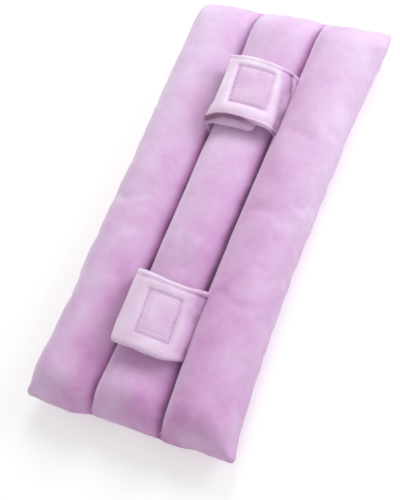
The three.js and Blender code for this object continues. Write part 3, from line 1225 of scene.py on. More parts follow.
@dataclass(frozen=True)
class Stitch:
    """One stitch of sewing thread: it lies on the cloth and dives into it at both ends.

    Each dive is a step outwards and down, counted in the thread's radius, and the size that
    the thread's end keeps.
    """

    length: float = 2.3
    pitch: float = 3.0
    radius: float = 0.36
    dives: tuple[tuple[float, float, float], ...] = ((1.1, 0.5, 0.85), (0.8, 1.0, 0.5))

    def model(self) -> bpy.types.Object:
        """Model a stitch along X at the origin, the cloth's face being the XY plane.

        Returns:
            The stitch.
        """
        deselect_all()
        body = self.length - 4 * self.radius
        bpy.ops.mesh.primitive_cylinder_add(
            vertices=8,
            radius=self.radius * MM,
            depth=body * MM,
            rotation=(0, math.pi / 2, 0),
        )
        stitch = bpy.context.object
        bpy.ops.object.transform_apply(location=True, rotation=True, scale=True)
        for end in (-1, 1):
            self.dive(stitch, end)
        bpy.ops.object.shade_smooth()
        return stitch

    def dive(self, stitch: bpy.types.Object, end: int) -> None:
        """Extrude one end of a stitch down into the cloth.

        Args:
            stitch: the straight thread.
            end: 1 or -1 along X.
        """
        make_active(stitch)
        bpy.ops.object.mode_set(mode="EDIT")
        bpy.ops.mesh.select_all(action="DESELECT")
        bpy.ops.object.mode_set(mode="OBJECT")
        for face in stitch.data.polygons:
            face.select = face.normal.x * end > 0.9
        bpy.ops.object.mode_set(mode="EDIT")
        bpy.ops.mesh.select_mode(type="FACE")
        for out, down, size in self.dives:
            reach = (end * out * self.radius * MM, 0, -down * self.radius * MM)
            bpy.ops.mesh.extrude_region_move(TRANSFORM_OT_translate={"value": reach})
            bpy.ops.transform.resize(value=(size, size, size))
        bpy.ops.object.mode_set(mode="OBJECT")

    def sew(self, name: str, path: np.ndarray, up: np.ndarray) -> bpy.types.Object:
        """Copy the stitch along a line on the cloth and join the copies into one thread.

        Args:
            name: the new piece's name.
            path: places along the line in millimetres, one row each.
            up: the cloth's outward direction at each place.

        Returns:
            The joined stitches.
        """
        first = self.model()
        first.name = first.data.name = name
        steps = np.linalg.norm(np.diff(path, axis=0), axis=1)
        travelled = np.concatenate([[0], np.cumsum(steps)])
        count = int((travelled[-1] - self.length) / self.pitch) + 1
        spare = travelled[-1] - (count - 1) * self.pitch
        made = []
        for i in range(count):
            middle = spare / 2 + i * self.pitch
            start, at, stop = (
                Vector([np.interp(middle + d, travelled, path[:, k]) for k in range(3)])
                for d in (-0.5 * self.length, 0, 0.5 * self.length)
            )
            out = Vector([np.interp(middle, travelled, up[:, k]) for k in range(3)]).normalized()
            along = (stop - start).normalized()
            side = out.cross(along).normalized()
            turn = Matrix((along, side, along.cross(side))).transposed().to_4x4()
            copy = first.copy()
            copy.data = first.data.copy()
            copy.data.transform(Matrix.Translation(at * MM) @ turn)
            bpy.context.scene.collection.objects.link(copy)
            made.append(copy)
        deselect_all()
        for copy in made:
            copy.select_set(True)
        bpy.context.view_layer.objects.active = made[0]
        bpy.ops.object.join()
        thread = bpy.context.object
        bpy.data.objects.remove(first)
        thread.name = thread.data.name = name
        return thread


@dataclass(frozen=True)
class PaintedWallShade:
    """Painted shade on a tab's steep wall, past its shoulder and at its root.

    The fold is how much lighter the wall is painted behind the fold that runs down it, and
    how dark the painted line along the fold is.
    """

    shade: float
    start: float
    run: float
    root: float
    fold: float
    lean: float = 0.18
    rim_lightening: tuple[float, float] = (0.5, 3.5)
    root_run: float = 17.0
    fold_line: tuple[float, float, float] = (28.5, 0.33, 12.0)
    fold_spread: tuple[float, float] = (1.5, 1.6)
    fold_from: tuple[float, float] = (6.0, 5.0)
    fold_shade: float = 0.3


@dataclass
class TabShape:
    """One tab: two layers of plush, turned and sewn, from its groove up and over the arch.

    The tab is drawn by two numbers: how far along its midline a place lies from the root, and
    how far across its width, from -1 to 1. Its droop is that of the end, the low side, the
    high side and the low corner. Lines of painted light and shade, and of relief, are given by
    their depth, their place and their spread.
    """

    form: PadForm
    loop: LoopPlace
    side: int
    lift: float
    shoulder: float
    reach: float
    middle: float
    root_lean: float
    root_pull: float
    shoulder_pull: float
    box_centre: tuple[float, float]
    box_half: tuple[float, float]
    box_lean: float
    width: float
    corner: float
    rim: float
    rim_width: float
    puff: float
    sink: float
    second_line: float
    # box_shade darkens inside the sewn box; hem_shade paints shade under the low hem, closed paints
    # shadow over a whole tab that the other tab covers, and wall paints shade on the steep wall and
    # at the root.
    box_shade: float
    hem_shade: float
    closed: float
    wall: PaintedWallShade
    droop: tuple[float, float, float, float]
    end_edge: Knots
    low_edge: Knots
    high_edge: Knots
    crease: float
    seed: float
    thickness: float = 2.4
    root_rise: float = 4.5
    flank_steps: int = 120
    arch_steps: int = 200
    overrun: float = 7.0
    # Painted light and shade: border_glow lightens the puffed border, underside_shade paints shade
    # on the face towards the belt, hem_line places the shade under the low hem, rim_glow is a
    # painted highlight on the high rim, and high_hem and sewn_line are painted shade lines beside
    # it and along the sewn box.
    border_glow: float = 0.16
    underside_shade: tuple[float, float] = (0.12, 0.8)
    hem_line: tuple[float, float, float, float] = (0.4, 1.5, 22.0, 14.0)
    rim_glow: tuple[float, float] = (0.12, 1.2)
    high_hem: tuple[float, float, float] = (0.22, 1.3, 0.7)
    sewn_line: tuple[float, float] = (0.3, 0.55)
    valley_gap: float = 0.2
    least_room: float = 0.5
    free_from: float = 14.0
    edge_opening: float = 1.5
    cut_ease: float = 3.0
    end_ease: float = 0.09
    droop_run: float = 11.0
    droop_side: tuple[float, float] = (0.68, 0.32)
    droop_over: tuple[float, float] = (0.25, 0.3)
    edge_wander: float = 0.8
    wander_from: tuple[float, float] = (0.7, 0.3)
    rim_line: tuple[float, float] = (0.55, 0.5)
    rim_groove: tuple[float, float, float] = (0.4, 1.5, 1.4)
    end_rim: tuple[float, float, float] = (0.5, 2.0, 1.5)
    crease_lines: tuple[tuple[float, float, float], ...] = ((1.0, 2.3, 0.6), (0.6, 1.2, 0.7))
    puff_run: float = 2.4
    pillow_run: float = 3.0
    sink_spread: float = 0.75
    second_sink: tuple[float, float] = (0.45, 0.7)
    softness: tuple[float, float, float] = (0.35, 11.0, 3.0)
    pulls: tuple[float, float, float] = (0.3, 3.4, 2.2)

    def __post_init__(self) -> None:
        """Trace the midline once."""
        radius = self.loop.arch_radius + self.lift
        crown = self.form.crown - self.form.press_depth
        centre = crown + self.loop.belt_room - self.loop.arch_radius
        slope = math.asin(self.shoulder / radius)
        groove = Groove(self.side)
        root = abs(float(self.form.groove_at(groove, np.array([self.loop.centre]))[0]))
        high = centre + radius * math.cos(slope)
        pull = self.shoulder_pull * np.array([math.cos(slope), -math.sin(slope)])
        corners = np.array(
            [
                (root, self.root_rise),
                (root + self.root_lean, self.root_rise + self.root_pull),
                (self.shoulder + pull[0], high + pull[1]),
                (self.shoulder, high),
            ]
        )
        t = np.linspace(0, 1, self.flank_steps)[:, None]
        weights = [(1 - t) ** 3, 3 * t * (1 - t) ** 2, 3 * t * t * (1 - t), t**3]
        flank = sum(w * c for w, c in zip(weights, corners))
        far = -math.asin((self.reach + self.overrun) / radius)
        angles = np.linspace(slope, far, self.arch_steps)[1:]
        arch = np.stack([radius * np.sin(angles), centre + radius * np.cos(angles)], axis=1)
        self.line = np.concatenate([flank, arch]) * np.array([self.side, 1.0])
        steps = np.linalg.norm(np.diff(self.line, axis=0), axis=1)
        self.travel = np.concatenate([[0], np.cumsum(steps)])
        over = self.travel[self.flank_steps :]
        self.length = float(np.interp(self.reach, -arch[:, 0], over))
        self.top = float(np.interp(0, -arch[:, 0], over))

    def half_width(self, travelled: np.ndarray) -> np.ndarray:
        """Half the tab's width at places along it, less its rounded corners."""
        left = self.length - travelled
        return self.width / 2 - self.corner * (1 - opening(left, self.corner))

    def on_line(self, drawn: np.ndarray) -> np.ndarray:
        """Places on the midline, across the pad and over its seam plane."""
        return np.stack([np.interp(drawn, self.travel, self.line[:, k]) for k in (0, 1)], axis=-1)

    def place(self, travelled: np.ndarray, share: np.ndarray, face: int) -> np.ndarray:
        """Places on one face of the tab.

        Args:
            travelled: millimetres from the root along the midline.
            share: across the width, from -1 to 1.
            face: 1 for the outer face, -1 for the one towards the belt, 0 for the midline.

        Returns:
            Places in millimetres from the seam plane's middle.
        """
        drawn = self.drawn(travelled, share)
        line = self.on_line(drawn)
        ahead = np.clip(drawn + 0.4, 0, self.travel[-1])
        behind = np.clip(drawn - 0.4, 0, self.travel[-1])
        way = self.on_line(ahead) - self.on_line(behind)
        way /= np.linalg.norm(way, axis=-1, keepdims=True)
        y = self.middle + share * self.half_width(travelled)
        across = self.side * (self.top - drawn)
        low, high = (eased(across, cut, self.cut_ease) for cut in (self.low_edge, self.high_edge))
        y = y + np.where(share < 0, low, high) * share**2 + self.edge_wave(travelled, share)
        offset = face * self.half_thickness(travelled, share, face) - self.hang(travelled, share)
        x = line[..., 0] + self.side * way[..., 1] * offset
        z = line[..., 1] - self.side * way[..., 0] * offset
        return np.stack([x, y, z], axis=-1)

    def drawn(self, travelled: np.ndarray, share: np.ndarray) -> np.ndarray:
        """Where on the midline a place is drawn, as the free end isn't cut straight."""
        past = rising(travelled, self.length) ** 4
        return travelled + past * eased(share, self.end_edge, self.end_ease)

    def hang(self, travelled: np.ndarray, share: np.ndarray) -> np.ndarray:
        """How far the tab's free parts hang below its arch.

        Args:
            travelled: millimetres from the root along the midline.
            share: across the width, from -1 to 1.

        Returns:
            The drop at each place.
        """
        end, low_side, high_side, corner = self.droop
        side_from, side_run = self.droop_side
        over_from, over_run = (part * self.length for part in self.droop_over)
        to_end = rising(travelled - (self.length - self.droop_run), self.droop_run) ** 1.6
        to_side = rising(np.abs(share) - side_from, side_run) ** 2.2
        over = rising(travelled - over_from, over_run)
        low = np.clip(-share, 0, 1) ** 2
        side = np.where(share < 0, low_side, high_side)
        return end * to_end + side * to_side * over + corner * to_end * low

    def edge_wave(self, travelled: np.ndarray, share: np.ndarray) -> np.ndarray:
        """A slight wander of the sewn edges along the pad.

        Args:
            travelled: millimetres from the root along the midline.
            share: across the width, from -1 to 1.

        Returns:
            The offset at each place.
        """
        start, run = self.wander_from
        near = rising(np.abs(share) - start, run)
        wander = noise_field(travelled * 0.06, share * 0.5, np.full_like(travelled, self.seed))
        return near * self.edge_wander * wander

    def from_box(
        self, travelled: np.ndarray, share: np.ndarray
    ) -> tuple[np.ndarray, np.ndarray, np.ndarray]:
        """Where places lie from the sewn box's line.

        Args:
            travelled: millimetres from the root along the midline.
            share: across the width, from -1 to 1.

        Returns:
            Places across the pad, places along it from the tab's middle, and the distance
            from the box's line, below 0 inside the box.
        """
        across = self.side * (self.top - self.drawn(travelled, share))
        along = share * self.width / 2
        upright = across - self.box_centre[0] - self.box_lean * (along - self.box_centre[1])
        dx = np.abs(upright) - self.box_half[0]
        dy = np.abs(along - self.box_centre[1]) - self.box_half[1]
        line = np.hypot(np.maximum(dx, 0), np.maximum(dy, 0)) + np.minimum(np.maximum(dx, dy), 0)
        return across, along, line

    def pile(self, travelled: np.ndarray, share: np.ndarray, face: int) -> np.ndarray:
        """Paint light on rims and borders, and shade at the sewn lines, hems, wall and underside.

        Args:
            travelled: millimetres from the root along the midline.
            share: across the width, from -1 to 1.
            face: 1 for the outer face, -1 for the one towards the belt.

        Returns:
            Above 0 where light is painted, below 0 where shade is painted.
        """
        across, along, line = self.from_box(travelled, share)
        to_side = (1 - np.abs(share)) * self.width / 2
        inwards = self.side * across
        # Painted shade under the rolled hem on the low side.
        near, spread, reach, run = self.hem_line
        low_hem = bell(to_side - near, spread) * rising(reach - inwards, run)
        low_hem = self.hem_shade * low_hem * (share < 0)
        # Painted shade on the face towards the belt, deeper under the low hem.
        if face < 0:
            plain, hemmed = self.underside_shade
            return -plain - hemmed * low_hem
        # Lighter on the puffed border, and a painted highlight on the high rim.
        border = rising(line, 2.5) * self.border_glow
        glow, spread = self.rim_glow
        border += glow * bell(to_side - 0.5 * self.rim_width, spread) * (share > 0)
        # Darker inside the sewn box, and painted shade along its sewn line and beside the high rim.
        depth, spread = self.sewn_line
        pressed = self.box_shade * rising(-line, 1.5) + depth * bell(line, spread)
        depth, near, spread = self.high_hem
        hem = depth * bell(to_side - near * self.rim_width, spread) * (share > 0) + low_hem
        # Painted shade on the wall and root, and painted shadow over a tab that the other one
        # covers.
        wall = self.painted_wall_shade(travelled, share, inwards, along, to_side)
        return border - pressed - hem - wall - self.closed

    def painted_wall_shade(
        self,
        travelled: np.ndarray,
        share: np.ndarray,
        inwards: np.ndarray,
        along: np.ndarray,
        to_side: np.ndarray,
    ) -> np.ndarray:
        """How much shade is painted on the tab's steep wall and at its root.

        Args:
            travelled: millimetres from the root along the midline.
            share: across the width, from -1 to 1.
            inwards: how far towards the root places lie from the arch's top.
            along: places along the pad from the tab's middle.
            to_side: how far they lie from the tab's nearer side.

        Returns:
            0 where no shade is painted.
        """
        painted_light = self.wall
        # Painted shade on the wall past its ridge, less of it near the high rim.
        ridge = self.shoulder + painted_light.start - painted_light.lean * along
        wall = painted_light.shade * np.clip((inwards - ridge) / painted_light.run + 0.5, 0, 1)
        relief, run = painted_light.rim_lightening
        wall *= 1 - relief * fading(to_side, run) * (share > 0)
        # A fold runs down the wall from the high side: painted shade along it, less behind it.
        place, lean, middle = painted_light.fold_line
        bend = inwards - place - lean * (middle - along)
        below, run = painted_light.fold_from
        high = rising(along + below, run)
        behind, across = painted_light.fold_spread
        wall -= painted_light.fold * wall * rising(bend, behind) * high
        wall += painted_light.fold_shade * painted_light.fold * bell(bend, across) * high
        # Painted shade deepest at the root, down in the groove.
        return wall + painted_light.root * bell(travelled, painted_light.root_run) * (1 - painted_light.fold * high)

    def rims(self, to_end: np.ndarray, to_side: np.ndarray, share: np.ndarray) -> np.ndarray:
        """How the turned rims stand proud on the outer face, with a groove beside each.

        Args:
            to_end: millimetres from the free end.
            to_side: millimetres from the nearer side.
            share: across the width, from -1 to 1.

        Returns:
            The relief at each place.
        """
        near, spread = (part * self.rim_width for part in self.rim_line)
        hem = self.rim * bell(to_side - near, spread)
        depth, near, spread = self.rim_groove
        hem = hem - depth * self.rim * bell(to_side - near * self.rim_width, spread)
        ridge, dip = (height * bell(to_side - at, wide) for height, at, wide in self.crease_lines)
        low = self.crease * (ridge - dip) * (share < 0)
        height, near, spread = self.end_rim
        end = height * self.rim * bell(to_end - near, spread)
        return hem * np.where(share > 0, 1.0, 0.5) - low + end

    def box_relief(
        self, across: np.ndarray, along: np.ndarray, line: np.ndarray, edge: np.ndarray
    ) -> np.ndarray:
        """How the cloth puffs round the sunk sewn box, with soft waves and pulled threads.

        Args:
            across: places across the pad.
            along: places along it from the tab's middle.
            line: the distance from the box's line, below 0 inside the box.
            edge: the distance from the tab's nearest edge.

        Returns:
            The relief at each place.
        """
        grain = np.full_like(along, self.seed * 9)
        (soft, soft_mm, soft_run), (pull, pull_mm, pull_run) = self.softness, self.pulls
        waves, tugs = (
            noise_field(across / size, along / size, grain / size) for size in (soft_mm, pull_mm)
        )
        border = (line > 0) * (1 - bell(line, self.puff_run)) * rising(edge, 2.5)
        pillow = (line < 0) * (1 - bell(line, self.pillow_run))
        relief = self.puff * border + 0.5 * self.puff * pillow
        relief = relief - self.sink * bell(line, self.sink_spread)
        if self.second_line:
            depth, spread = self.second_sink
            relief = relief - depth * self.sink * bell(line + self.second_line, spread)
        relief = relief + soft * waves * rising(edge, soft_run)
        return relief + pull * tugs * fading(np.abs(line), pull_run)

    def half_thickness(self, travelled: np.ndarray, share: np.ndarray, face: int) -> np.ndarray:
        """Half the tab's thickness: full rims, a sunk sewn box and puffed borders.

        Args:
            travelled: millimetres from the root along the midline.
            share: across the width, from -1 to 1.
            face: 1 for the outer face, -1 for the one towards the belt, 0 for the midline.

        Returns:
            The distance of the face from the midline at each place.
        """
        to_end = self.length - travelled
        to_side = (1 - np.abs(share)) * self.width / 2
        edge = np.minimum(to_end, to_side)
        body = self.thickness / 2 * opening(edge, self.edge_opening)
        if face > 0:
            across, along, line = self.from_box(travelled, share)
            body = body + self.rims(to_end, to_side, share)
            body = body + self.box_relief(across, along, line, edge)
        height = self.on_line(self.drawn(travelled, share))[..., 1]
        room = np.maximum(self.valley_room(height) - self.valley_gap, self.least_room)
        sewn_in = travelled < self.top - self.free_from
        return np.where(sewn_in, np.minimum(body, room), body) * (travelled > 0.01)

    def valley_room(self, z: np.ndarray) -> np.ndarray:
        """Half the room between two channels' flanks.

        Args:
            z: heights over the seam plane.

        Returns:
            The room on each side of the groove.
        """
        form = self.form
        half = form.pitch / 2 - form.groove / 2
        share = rising(z - form.seam_height, form.crown - form.seam_height)
        power = form.groove_roundness
        return form.pitch / 2 - half * (1 - share**power) ** (1 / power)

    def cloth(self, name: str) -> bpy.types.Object:
        """Make the tab's closed form.

        Args:
            name: the piece's name.

        Returns:
            The tab, raised to stand over the floor.
        """
        across = graded(2.0, 6.0 / self.width, 5, 1.9 / self.width) - 1
        along = graded(self.length, 3.0, 5, 0.95)
        travelled, share = np.meshgrid(along, across, indexing="ij")
        sheets = [self.place(travelled, share, face) for face in (1, -1)]
        if self.side < 0:
            sheets.reverse()
        for sheet in sheets:
            for rim in (np.s_[0, :], np.s_[-1, :], np.s_[:, 0], np.s_[:, -1]):
                sheet[rim] = self.place(travelled[rim], share[rim], 0)
        painted_light = np.stack([self.pile(travelled, share, self.side * face) for face in (1, -1)])
        piece = sewn_sheets(name, *sheets, painted_light)
        with editing(piece):
            bpy.ops.mesh.normals_make_consistent(inside=False)
        apply_modifier(piece, "SUBSURF", "smooth_cloth", levels=1, render_levels=1)
        points = vertices_of(piece)
        points[:, 2] += self.form.back * MM
        set_vertices(piece, points)
        return piece

    def box_path(self, face: int) -> tuple[np.ndarray, np.ndarray]:
        """The sewn box's line on one face, with the cloth's direction along it.

        Args:
            face: 1 for the outer face, -1 for the one towards the belt.

        Returns:
            Places in millimetres, and the outward direction at each.
        """
        (cx, cy), (hx, hy) = self.box_centre, self.box_half
        corners = np.array([(-hx, -hy), (hx, -hy), (hx, hy), (-hx, hy), (-hx, -hy)])
        corners[:, 0] += self.box_lean * corners[:, 1]
        corners += np.array([cx, cy])
        points = np.concatenate(
            [np.linspace(a, b, 40, endpoint=False) for a, b in zip(corners, corners[1:])]
            + [corners[-1:]]
        )
        travelled = self.top - self.side * points[:, 0]
        share = points[:, 1] / (self.width / 2)
        sewn = self.place(travelled, share, face)
        up = sewn - self.place(travelled, share, 0)
        up /= np.linalg.norm(up, axis=1, keepdims=True)
        sewn[:, 2] += self.form.back
        return sewn + up * 0.15, up


@dataclass
class BeltLoop:
    """A loop for the belt: two tabs that overlap and close with hook and pile patches.

    The outer tab's box starts and stops across the pad. Droops are those of the end, the low
    side, the high side and the low corner.
    """

    form: PadForm
    place: LoopPlace
    tab_thickness: float = 2.4
    patch_thickness: float = 0.8
    patch_across: float = 26.0
    patch_along: float = 28.0
    patch_border: tuple[float, float] = (0.9, 0.18)
    patch_bevel: float = 0.15
    layer_gap: float = 0.3
    stitch_inset: float = 1.5
    hook_centre: float = 6.5
    pile_centre: float = 0.0
    outer_box: tuple[float, float] = (-5.0, 18.0)
    outer_droop: tuple[float, float, float, float] = (1.0, 2.4, 1.6, 2.4)
    inner_droop: tuple[float, float, float, float] = (0.0, 2.0, 1.6, 0.0)
    crease: float = 0.8
    # Painted shade on the tabs: under the low hem, on the walls and at the roots, and painted
    # shadow over the inner tab that the outer one covers; box_shade darkens inside the box.
    hem_shade: float = 0.85
    box_shade: float = 0.2
    wall: PaintedWallShade = PaintedWallShade(shade=0.46, start=3.0, run=2.2, root=0.48, fold=0.5)
    inner_root: float = 0.6
    inner_painted_shadow: float = 0.32
    end_edge: Knots = (
        (-1.0, 6.0), (-0.85, 2.0), (-0.6, -1.7), (-0.1, -2.3), (0.6, -1.5), (0.85, 0.2),
        (1.0, 2.4),
    )
    low_edge: Knots = ((-17.0, -2.5), (-8.0, -0.4), (0.0, 0.0))
    high_edge: Knots = (
        (-17.0, 0.3), (-8.0, -0.7), (4.6, -0.95), (13.0, -1.5), (21.0, -3.0), (29.0, -2.6),
        (36.0, -0.8),
    )
    inner_low: Knots = STRAIGHT
    inner_high: Knots = STRAIGHT
    inner_corner: float = 4.5
    corner: float = 1.4
    rim: float = 1.0
    rim_width: float = 2.6
    puff: float = 0.9
    sink: float = 1.35
    second_line: float = 0.0
    box_lean: float = -0.1
    box_raise: float = 0.5
    box_stretch: float = 0.0
    inner_narrowing: float = 0.0

    def outer_shape(self) -> TabShape:
        """Lay out the outer tab, which lies over the patches and the inner tab.

        Returns:
            Its form.
        """
        start, stop = self.outer_box
        stack = self.tab_thickness + 2 * self.patch_thickness + 3 * self.layer_gap
        half_box = self.patch_along / 2 - self.stitch_inset + self.box_stretch
        return TabShape(
            form=self.form,
            loop=self.place,
            side=1,
            lift=self.tab_thickness / 2 + stack,
            shoulder=20.3,
            reach=17.0,
            middle=self.place.centre,
            root_lean=5.5,
            root_pull=9.5,
            shoulder_pull=3.0,
            box_centre=((start + stop) / 2, self.place.patch_shift + self.box_raise),
            box_half=((stop - start) / 2, half_box),
            box_lean=self.box_lean,
            width=self.place.tab_width,
            corner=self.corner,
            rim=self.rim,
            rim_width=self.rim_width,
            puff=self.puff,
            sink=self.sink,
            second_line=self.second_line,
            # Painted shade under the hem and on the wall; no painted shadow over the outer tab.
            box_shade=self.box_shade,
            hem_shade=self.hem_shade,
            closed=0.0,
            wall=self.wall,
            droop=self.outer_droop,
            end_edge=self.end_edge,
            low_edge=self.low_edge,
            high_edge=self.high_edge,
            crease=self.crease,
            seed=self.place.centre / 10 + 3,
        )

    def inner_shape(self) -> TabShape:
        """Lay out the inner tab, which is plainer and lies next to the belt.

        Returns:
            Its form.
        """
        half = (self.patch_across / 2 - self.stitch_inset, self.patch_along / 2 - self.stitch_inset)
        return TabShape(
            form=self.form,
            loop=self.place,
            side=-1,
            lift=self.tab_thickness / 2,
            shoulder=14.0,
            reach=15.5,
            middle=self.place.centre + self.place.inner_shift,
            root_lean=0.0,
            root_pull=13.0,
            shoulder_pull=5.0,
            box_centre=(self.pile_centre, self.place.patch_shift),
            box_half=half,
            box_lean=0.0,
            width=self.place.tab_width - 2 * self.inner_narrowing,
            corner=self.inner_corner,
            rim=0.2,
            rim_width=self.rim_width,
            puff=0.1,
            sink=0.5,
            second_line=self.second_line,
            box_shade=self.box_shade,
            hem_shade=0.0,
            # Painted shadow over the inner tab, which the outer tab covers, and painted shade at
            # its root.
            closed=self.inner_painted_shadow,
            wall=replace(self.wall, root=self.inner_root, fold=0.0),
            droop=self.inner_droop,
            end_edge=STRAIGHT,
            low_edge=self.inner_low,
            high_edge=self.inner_high,
            crease=0.0,
            seed=self.place.centre / 10,
        )

    def build(
        self,
        plush: bpy.types.Material,
        hooks: bpy.types.Material,
        pile: bpy.types.Material,
        thread: bpy.types.Material,
    ) -> None:
        """Make the loop's tabs, patches and stitching.

        Args:
            plush: the tabs' finish.
            hooks: the hook patch's finish.
            pile: the pile patch's finish.
            thread: the stitching's finish.
        """
        for layer, shape in (("outer", self.outer_shape()), ("inner", self.inner_shape())):
            name = f"{self.place.name}_{layer}"
            tab = shape.cloth(f"{name}_plush_tab")
            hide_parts(f"{name}_tab")
            dress(tab, plush)
            stitches = Stitch().sew(f"{name}_box_stitches", *shape.box_path(shape.side))
            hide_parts(f"{name}_box_stitch")
            dress(stitches, thread)
        lift = self.tab_thickness + self.layer_gap + self.patch_thickness / 2
        middle = self.place.centre + self.place.patch_shift
        self.patch("pile", lift, self.pile_centre, middle + self.place.inner_shift, pile)
        lift += self.patch_thickness + self.layer_gap
        self.patch("hook", lift, self.hook_centre, middle, hooks)

    def patch(
        self, kind: str, lift: float, across: float, along: float, finish: bpy.types.Material
    ) -> None:
        """Make a woven patch that follows the arch.

        Args:
            kind: hook or pile.
            lift: its middle's height over the inner tab's underside.
            across: its middle across the pad, along the arch.
            along: its middle along the pad.
            finish: its tape.
        """
        border, raised = self.patch_border
        deselect_all()
        bpy.ops.mesh.primitive_grid_add(x_subdivisions=16, y_subdivisions=16, size=MM)
        piece = bpy.context.object
        with editing(piece):
            bpy.ops.transform.resize(value=(self.patch_across, self.patch_along, 1))
            bpy.ops.mesh.inset(thickness=border * MM, use_boundary=True)
            bpy.ops.transform.translate(value=(0, 0, raised * MM))
        piece.name = piece.data.name = f"{self.place.name}_{kind}_tape"
        thickness = (self.patch_thickness - 0.2) * MM
        apply_modifier(piece, "SOLIDIFY", "tape_thickness", thickness=thickness, offset=0)
        apply_modifier(piece, "BEVEL", "soft_edge", width=self.patch_bevel * MM, segments=2)
        points = vertices_of(piece) / MM
        radius = self.place.arch_radius + lift + points[:, 2]
        crown = self.form.crown - self.form.press_depth
        centre = crown + self.place.belt_room - self.place.arch_radius
        angle = (across + points[:, 0]) / (self.place.arch_radius + lift)
        y = along + points[:, 1]
        z = self.form.back + centre + radius * np.cos(angle)
        set_vertices(piece, np.stack([radius * np.sin(angle), y, z], axis=1) * MM)
        make_active(piece)
        bpy.ops.object.shade_smooth_by_angle(angle=math.radians(40))
        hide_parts(f"{self.place.name}_{kind}_patch")
        dress(piece, finish)


def lower_loop(form: PadForm) -> BeltLoop:
    """Lay out the lower loop, whose outer tab is flatter and was sewn on a little askew.

    Args:
        form: the pad that it crosses.

    Returns:
        The loop, ready to build.
    """
    return BeltLoop(
        form,
        LOWER_LOOP,
        outer_box=(-1.5, 19.0),
        outer_droop=(0.8, 1.5, 1.5, 0.4),
        inner_droop=(0.0, 0.8, 0.8, 0.0),
        crease=0.2,
        # Painted shade: faint under the hem and soft on the wall; no darkening inside the box.
        hem_shade=0.1,
        box_shade=0.0,
        wall=PaintedWallShade(shade=0.2, start=5.5, run=7.0, root=0.5, fold=0.0),
        corner=1.8,
        rim=0.8,
        rim_width=3.4,
        puff=0.5,
        sink=0.9,
        second_line=2.4,
        end_edge=((-1.0, -0.7), (-0.5, 0.0), (0.0, -0.5), (0.6, 0.2), (1.0, 0.4)),
        low_edge=(
            (-14.0, 0.0), (-7.3, -1.1), (1.1, -1.1), (8.0, -1.6), (14.3, -1.9), (20.3, -2.2),
            (28.6, 0.9), (41.0, 5.5),
        ),
        high_edge=(
            (-17.0, -0.8), (-7.0, -2.5), (1.5, -3.0), (8.5, -3.6), (14.0, -4.2), (19.0, -4.4),
            (25.0, -2.8), (34.0, -0.3), (43.0, 1.5),
        ),
        inner_low=((0.0, 1.5),),
        inner_high=((-12.0, 0.0), (0.0, -2.0), (12.0, -3.0)),
        box_lean=-0.07,
        box_raise=1.3,
        box_stretch=0.5,
        inner_narrowing=1.5,
    )


@dataclass
class ChannelSeams:
    """The stitch lines that part the channels, in the grooves of the front and the back."""

    form: PadForm
    margin: float = 4.0
    bed: float = 1.5
    stitch: Stitch = Stitch(length=2.9, pitch=3.5)

    def build(self, thread: bpy.types.Material) -> None:
        """Sew both grooves on both faces.

        Args:
            thread: the sewing thread.
        """
        y = np.linspace(-1, 1, 200) * (self.form.length / 2 - self.margin)
        for groove in Groove:
            x = self.form.groove_at(groove, y)
            for face in Face:
                name = f"{groove.name.lower()}_seam_{face.name.lower()}"
                z = self.form.back + face.value * np.full_like(y, self.bed)
                up = np.tile([0.0, 0.0, float(face.value)], (len(y), 1))
                path = np.stack([x, y, z], axis=1)
                stitches = self.stitch.sew(f"{name}_stitches", path, up)
                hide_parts(f"{name}_thread")
                dress(stitches, thread)


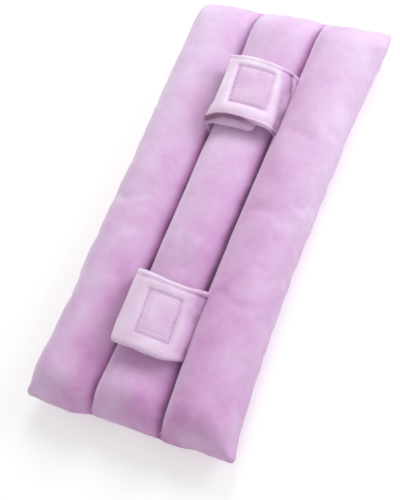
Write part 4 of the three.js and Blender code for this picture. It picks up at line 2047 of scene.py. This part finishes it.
@dataclass
class Studio:
    """A pale floor, soft lamps and the camera at the photograph's viewing angle.

    Places are in metres, and lamp powers in watts.
    """

    eye: tuple[float, float, float] = (0.289438, -0.196967, 0.569192)
    right: tuple[float, float, float] = (0.8662535, 0.3733144, -0.33202596)
    down: tuple[float, float, float] = (0.23130205, -0.88873597, -0.39578749)
    focal_share: float = 1070.361 / 500
    sensor_mm: float = 36.0
    key_power: float = 2.1
    side_power: float = 3.6
    front_power: float = 1.1
    sky: float = 0.5
    paper: str = "#f4f3f2"
    paper_glow: float = 0.3

    def build(self) -> None:
        """Set up the camera, the lamps, the floor and the white surround."""
        scene = bpy.context.scene
        scene.view_settings.view_transform = "Standard"
        self.camera()
        self.lamp("key_softbox", (-0.05, 0.55, 0.55), 0.36, self.key_power)
        self.lamp("side_softbox", (0.7, 0.5, 0.45), 0.5, self.side_power, "#f2f8ff")
        self.lamp("front_softbox", (0.35, -0.55, 0.9), 0.7, self.front_power)
        self.floor()
        self.surround()

    def camera(self) -> None:
        """Stand the camera where the photograph was taken from."""
        right, down = Vector(self.right).normalized(), Vector(self.down).normalized()
        back = right.cross(-down)
        data = bpy.data.cameras.new("photo_camera")
        data.sensor_width = self.sensor_mm
        data.lens = self.focal_share * self.sensor_mm
        data.clip_start = 0.01
        camera = bpy.data.objects.new("photo_camera", data)
        bpy.context.scene.collection.objects.link(camera)
        turn = Matrix((right, -down, back)).transposed().to_4x4()
        camera.matrix_world = Matrix.Translation(Vector(self.eye)) @ turn
        bpy.context.scene.camera = camera

    def lamp(
        self,
        name: str,
        place: tuple[float, float, float],
        size: float,
        power: float,
        colour: str = "#ffffff",
    ) -> None:
        """Hang a square softbox that faces the pad.

        Args:
            name: the lamp's name.
            place: where it hangs, in metres.
            size: the side of its square.
            power: its power in watts.
            colour: its light's colour.
        """
        data = bpy.data.lights.new(name, "AREA")
        data.shape = "SQUARE"
        data.size = size
        data.energy = power
        data.color = linear(colour)[:3]
        lamp = bpy.data.objects.new(name, data)
        bpy.context.scene.collection.objects.link(lamp)
        lamp.location = place
        lamp.rotation_euler = Vector(place).to_track_quat("Z", "Y").to_euler()

    def floor(self) -> None:
        """Lay a pale floor that shows white to the camera and keeps the pad's shadow."""
        deselect_all()
        bpy.ops.mesh.primitive_plane_add(size=6, location=(0, 0, -0.0002))
        floor = bpy.context.object
        floor.name = floor.data.name = "pale_floor"
        material, tree = new_material("matt_white_paper")
        seen = add_node(tree, "ShaderNodeLightPath").outputs["Is Camera Ray"]
        paper = add_node(
            tree, "ShaderNodeBsdfDiffuse", values={"Color": linear(self.paper), "Roughness": 0.5}
        )
        glow = add_node(tree, "ShaderNodeEmission", values={"Color": linear("#ffffff")})
        lift = add_node(
            tree,
            "ShaderNodeMath",
            settings={"operation": "MULTIPLY"},
            values={1: self.paper_glow},
            links={0: seen},
        )
        tree.links.new(lift.outputs[0], glow.inputs["Strength"])
        both = add_node(
            tree, "ShaderNodeAddShader", links={0: paper.outputs["BSDF"], 1: glow.outputs[0]}
        )
        add_node(tree, "ShaderNodeOutputMaterial", links={"Surface": both.outputs[0]})
        floor.data.materials.append(material)

    def surround(self) -> None:
        """Fill the room with even light that the camera sees as white."""
        world = bpy.data.worlds.new("white_surround")
        world.use_nodes = True
        tree = world.node_tree
        tree.nodes.clear()
        rays = add_node(tree, "ShaderNodeLightPath")
        shown = add_node(
            tree,
            "ShaderNodeMath",
            settings={"operation": "MAXIMUM"},
            links={0: rays.outputs["Is Camera Ray"], 1: rays.outputs["Is Glossy Ray"]},
        )
        strength = add_node(
            tree,
            "ShaderNodeMath",
            settings={"operation": "MULTIPLY_ADD"},
            values={1: 1 - self.sky, 2: self.sky},
            links={0: shown.outputs[0]},
        )
        light = add_node(
            tree,
            "ShaderNodeBackground",
            values={"Color": linear("#ffffff")},
            links={"Strength": strength.outputs[0]},
        )
        add_node(tree, "ShaderNodeOutputWorld", links={"Surface": light.outputs[0]})
        bpy.context.scene.world = world


def main() -> None:
    """Build the pad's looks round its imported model."""
    logging.basicConfig(level=logging.INFO, format="%(name)s: %(message)s")
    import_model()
    form = PadForm()
    Studio().build()
    Cushion(form).build(COVER_PLUSH.build())
    Wadding(form).build(FIBRE_WADDING.build())
    thread = SEWING_THREAD.build()
    ChannelSeams(form).build(thread)
    finishes = (TAB_PLUSH.build(), HOOK_TAPE.build(), PILE_TAPE.build(), thread)
    BeltLoop(form, UPPER_LOOP).build(*finishes)
    lower_loop(form).build(*finishes)


if __name__ == "__main__":
    main()
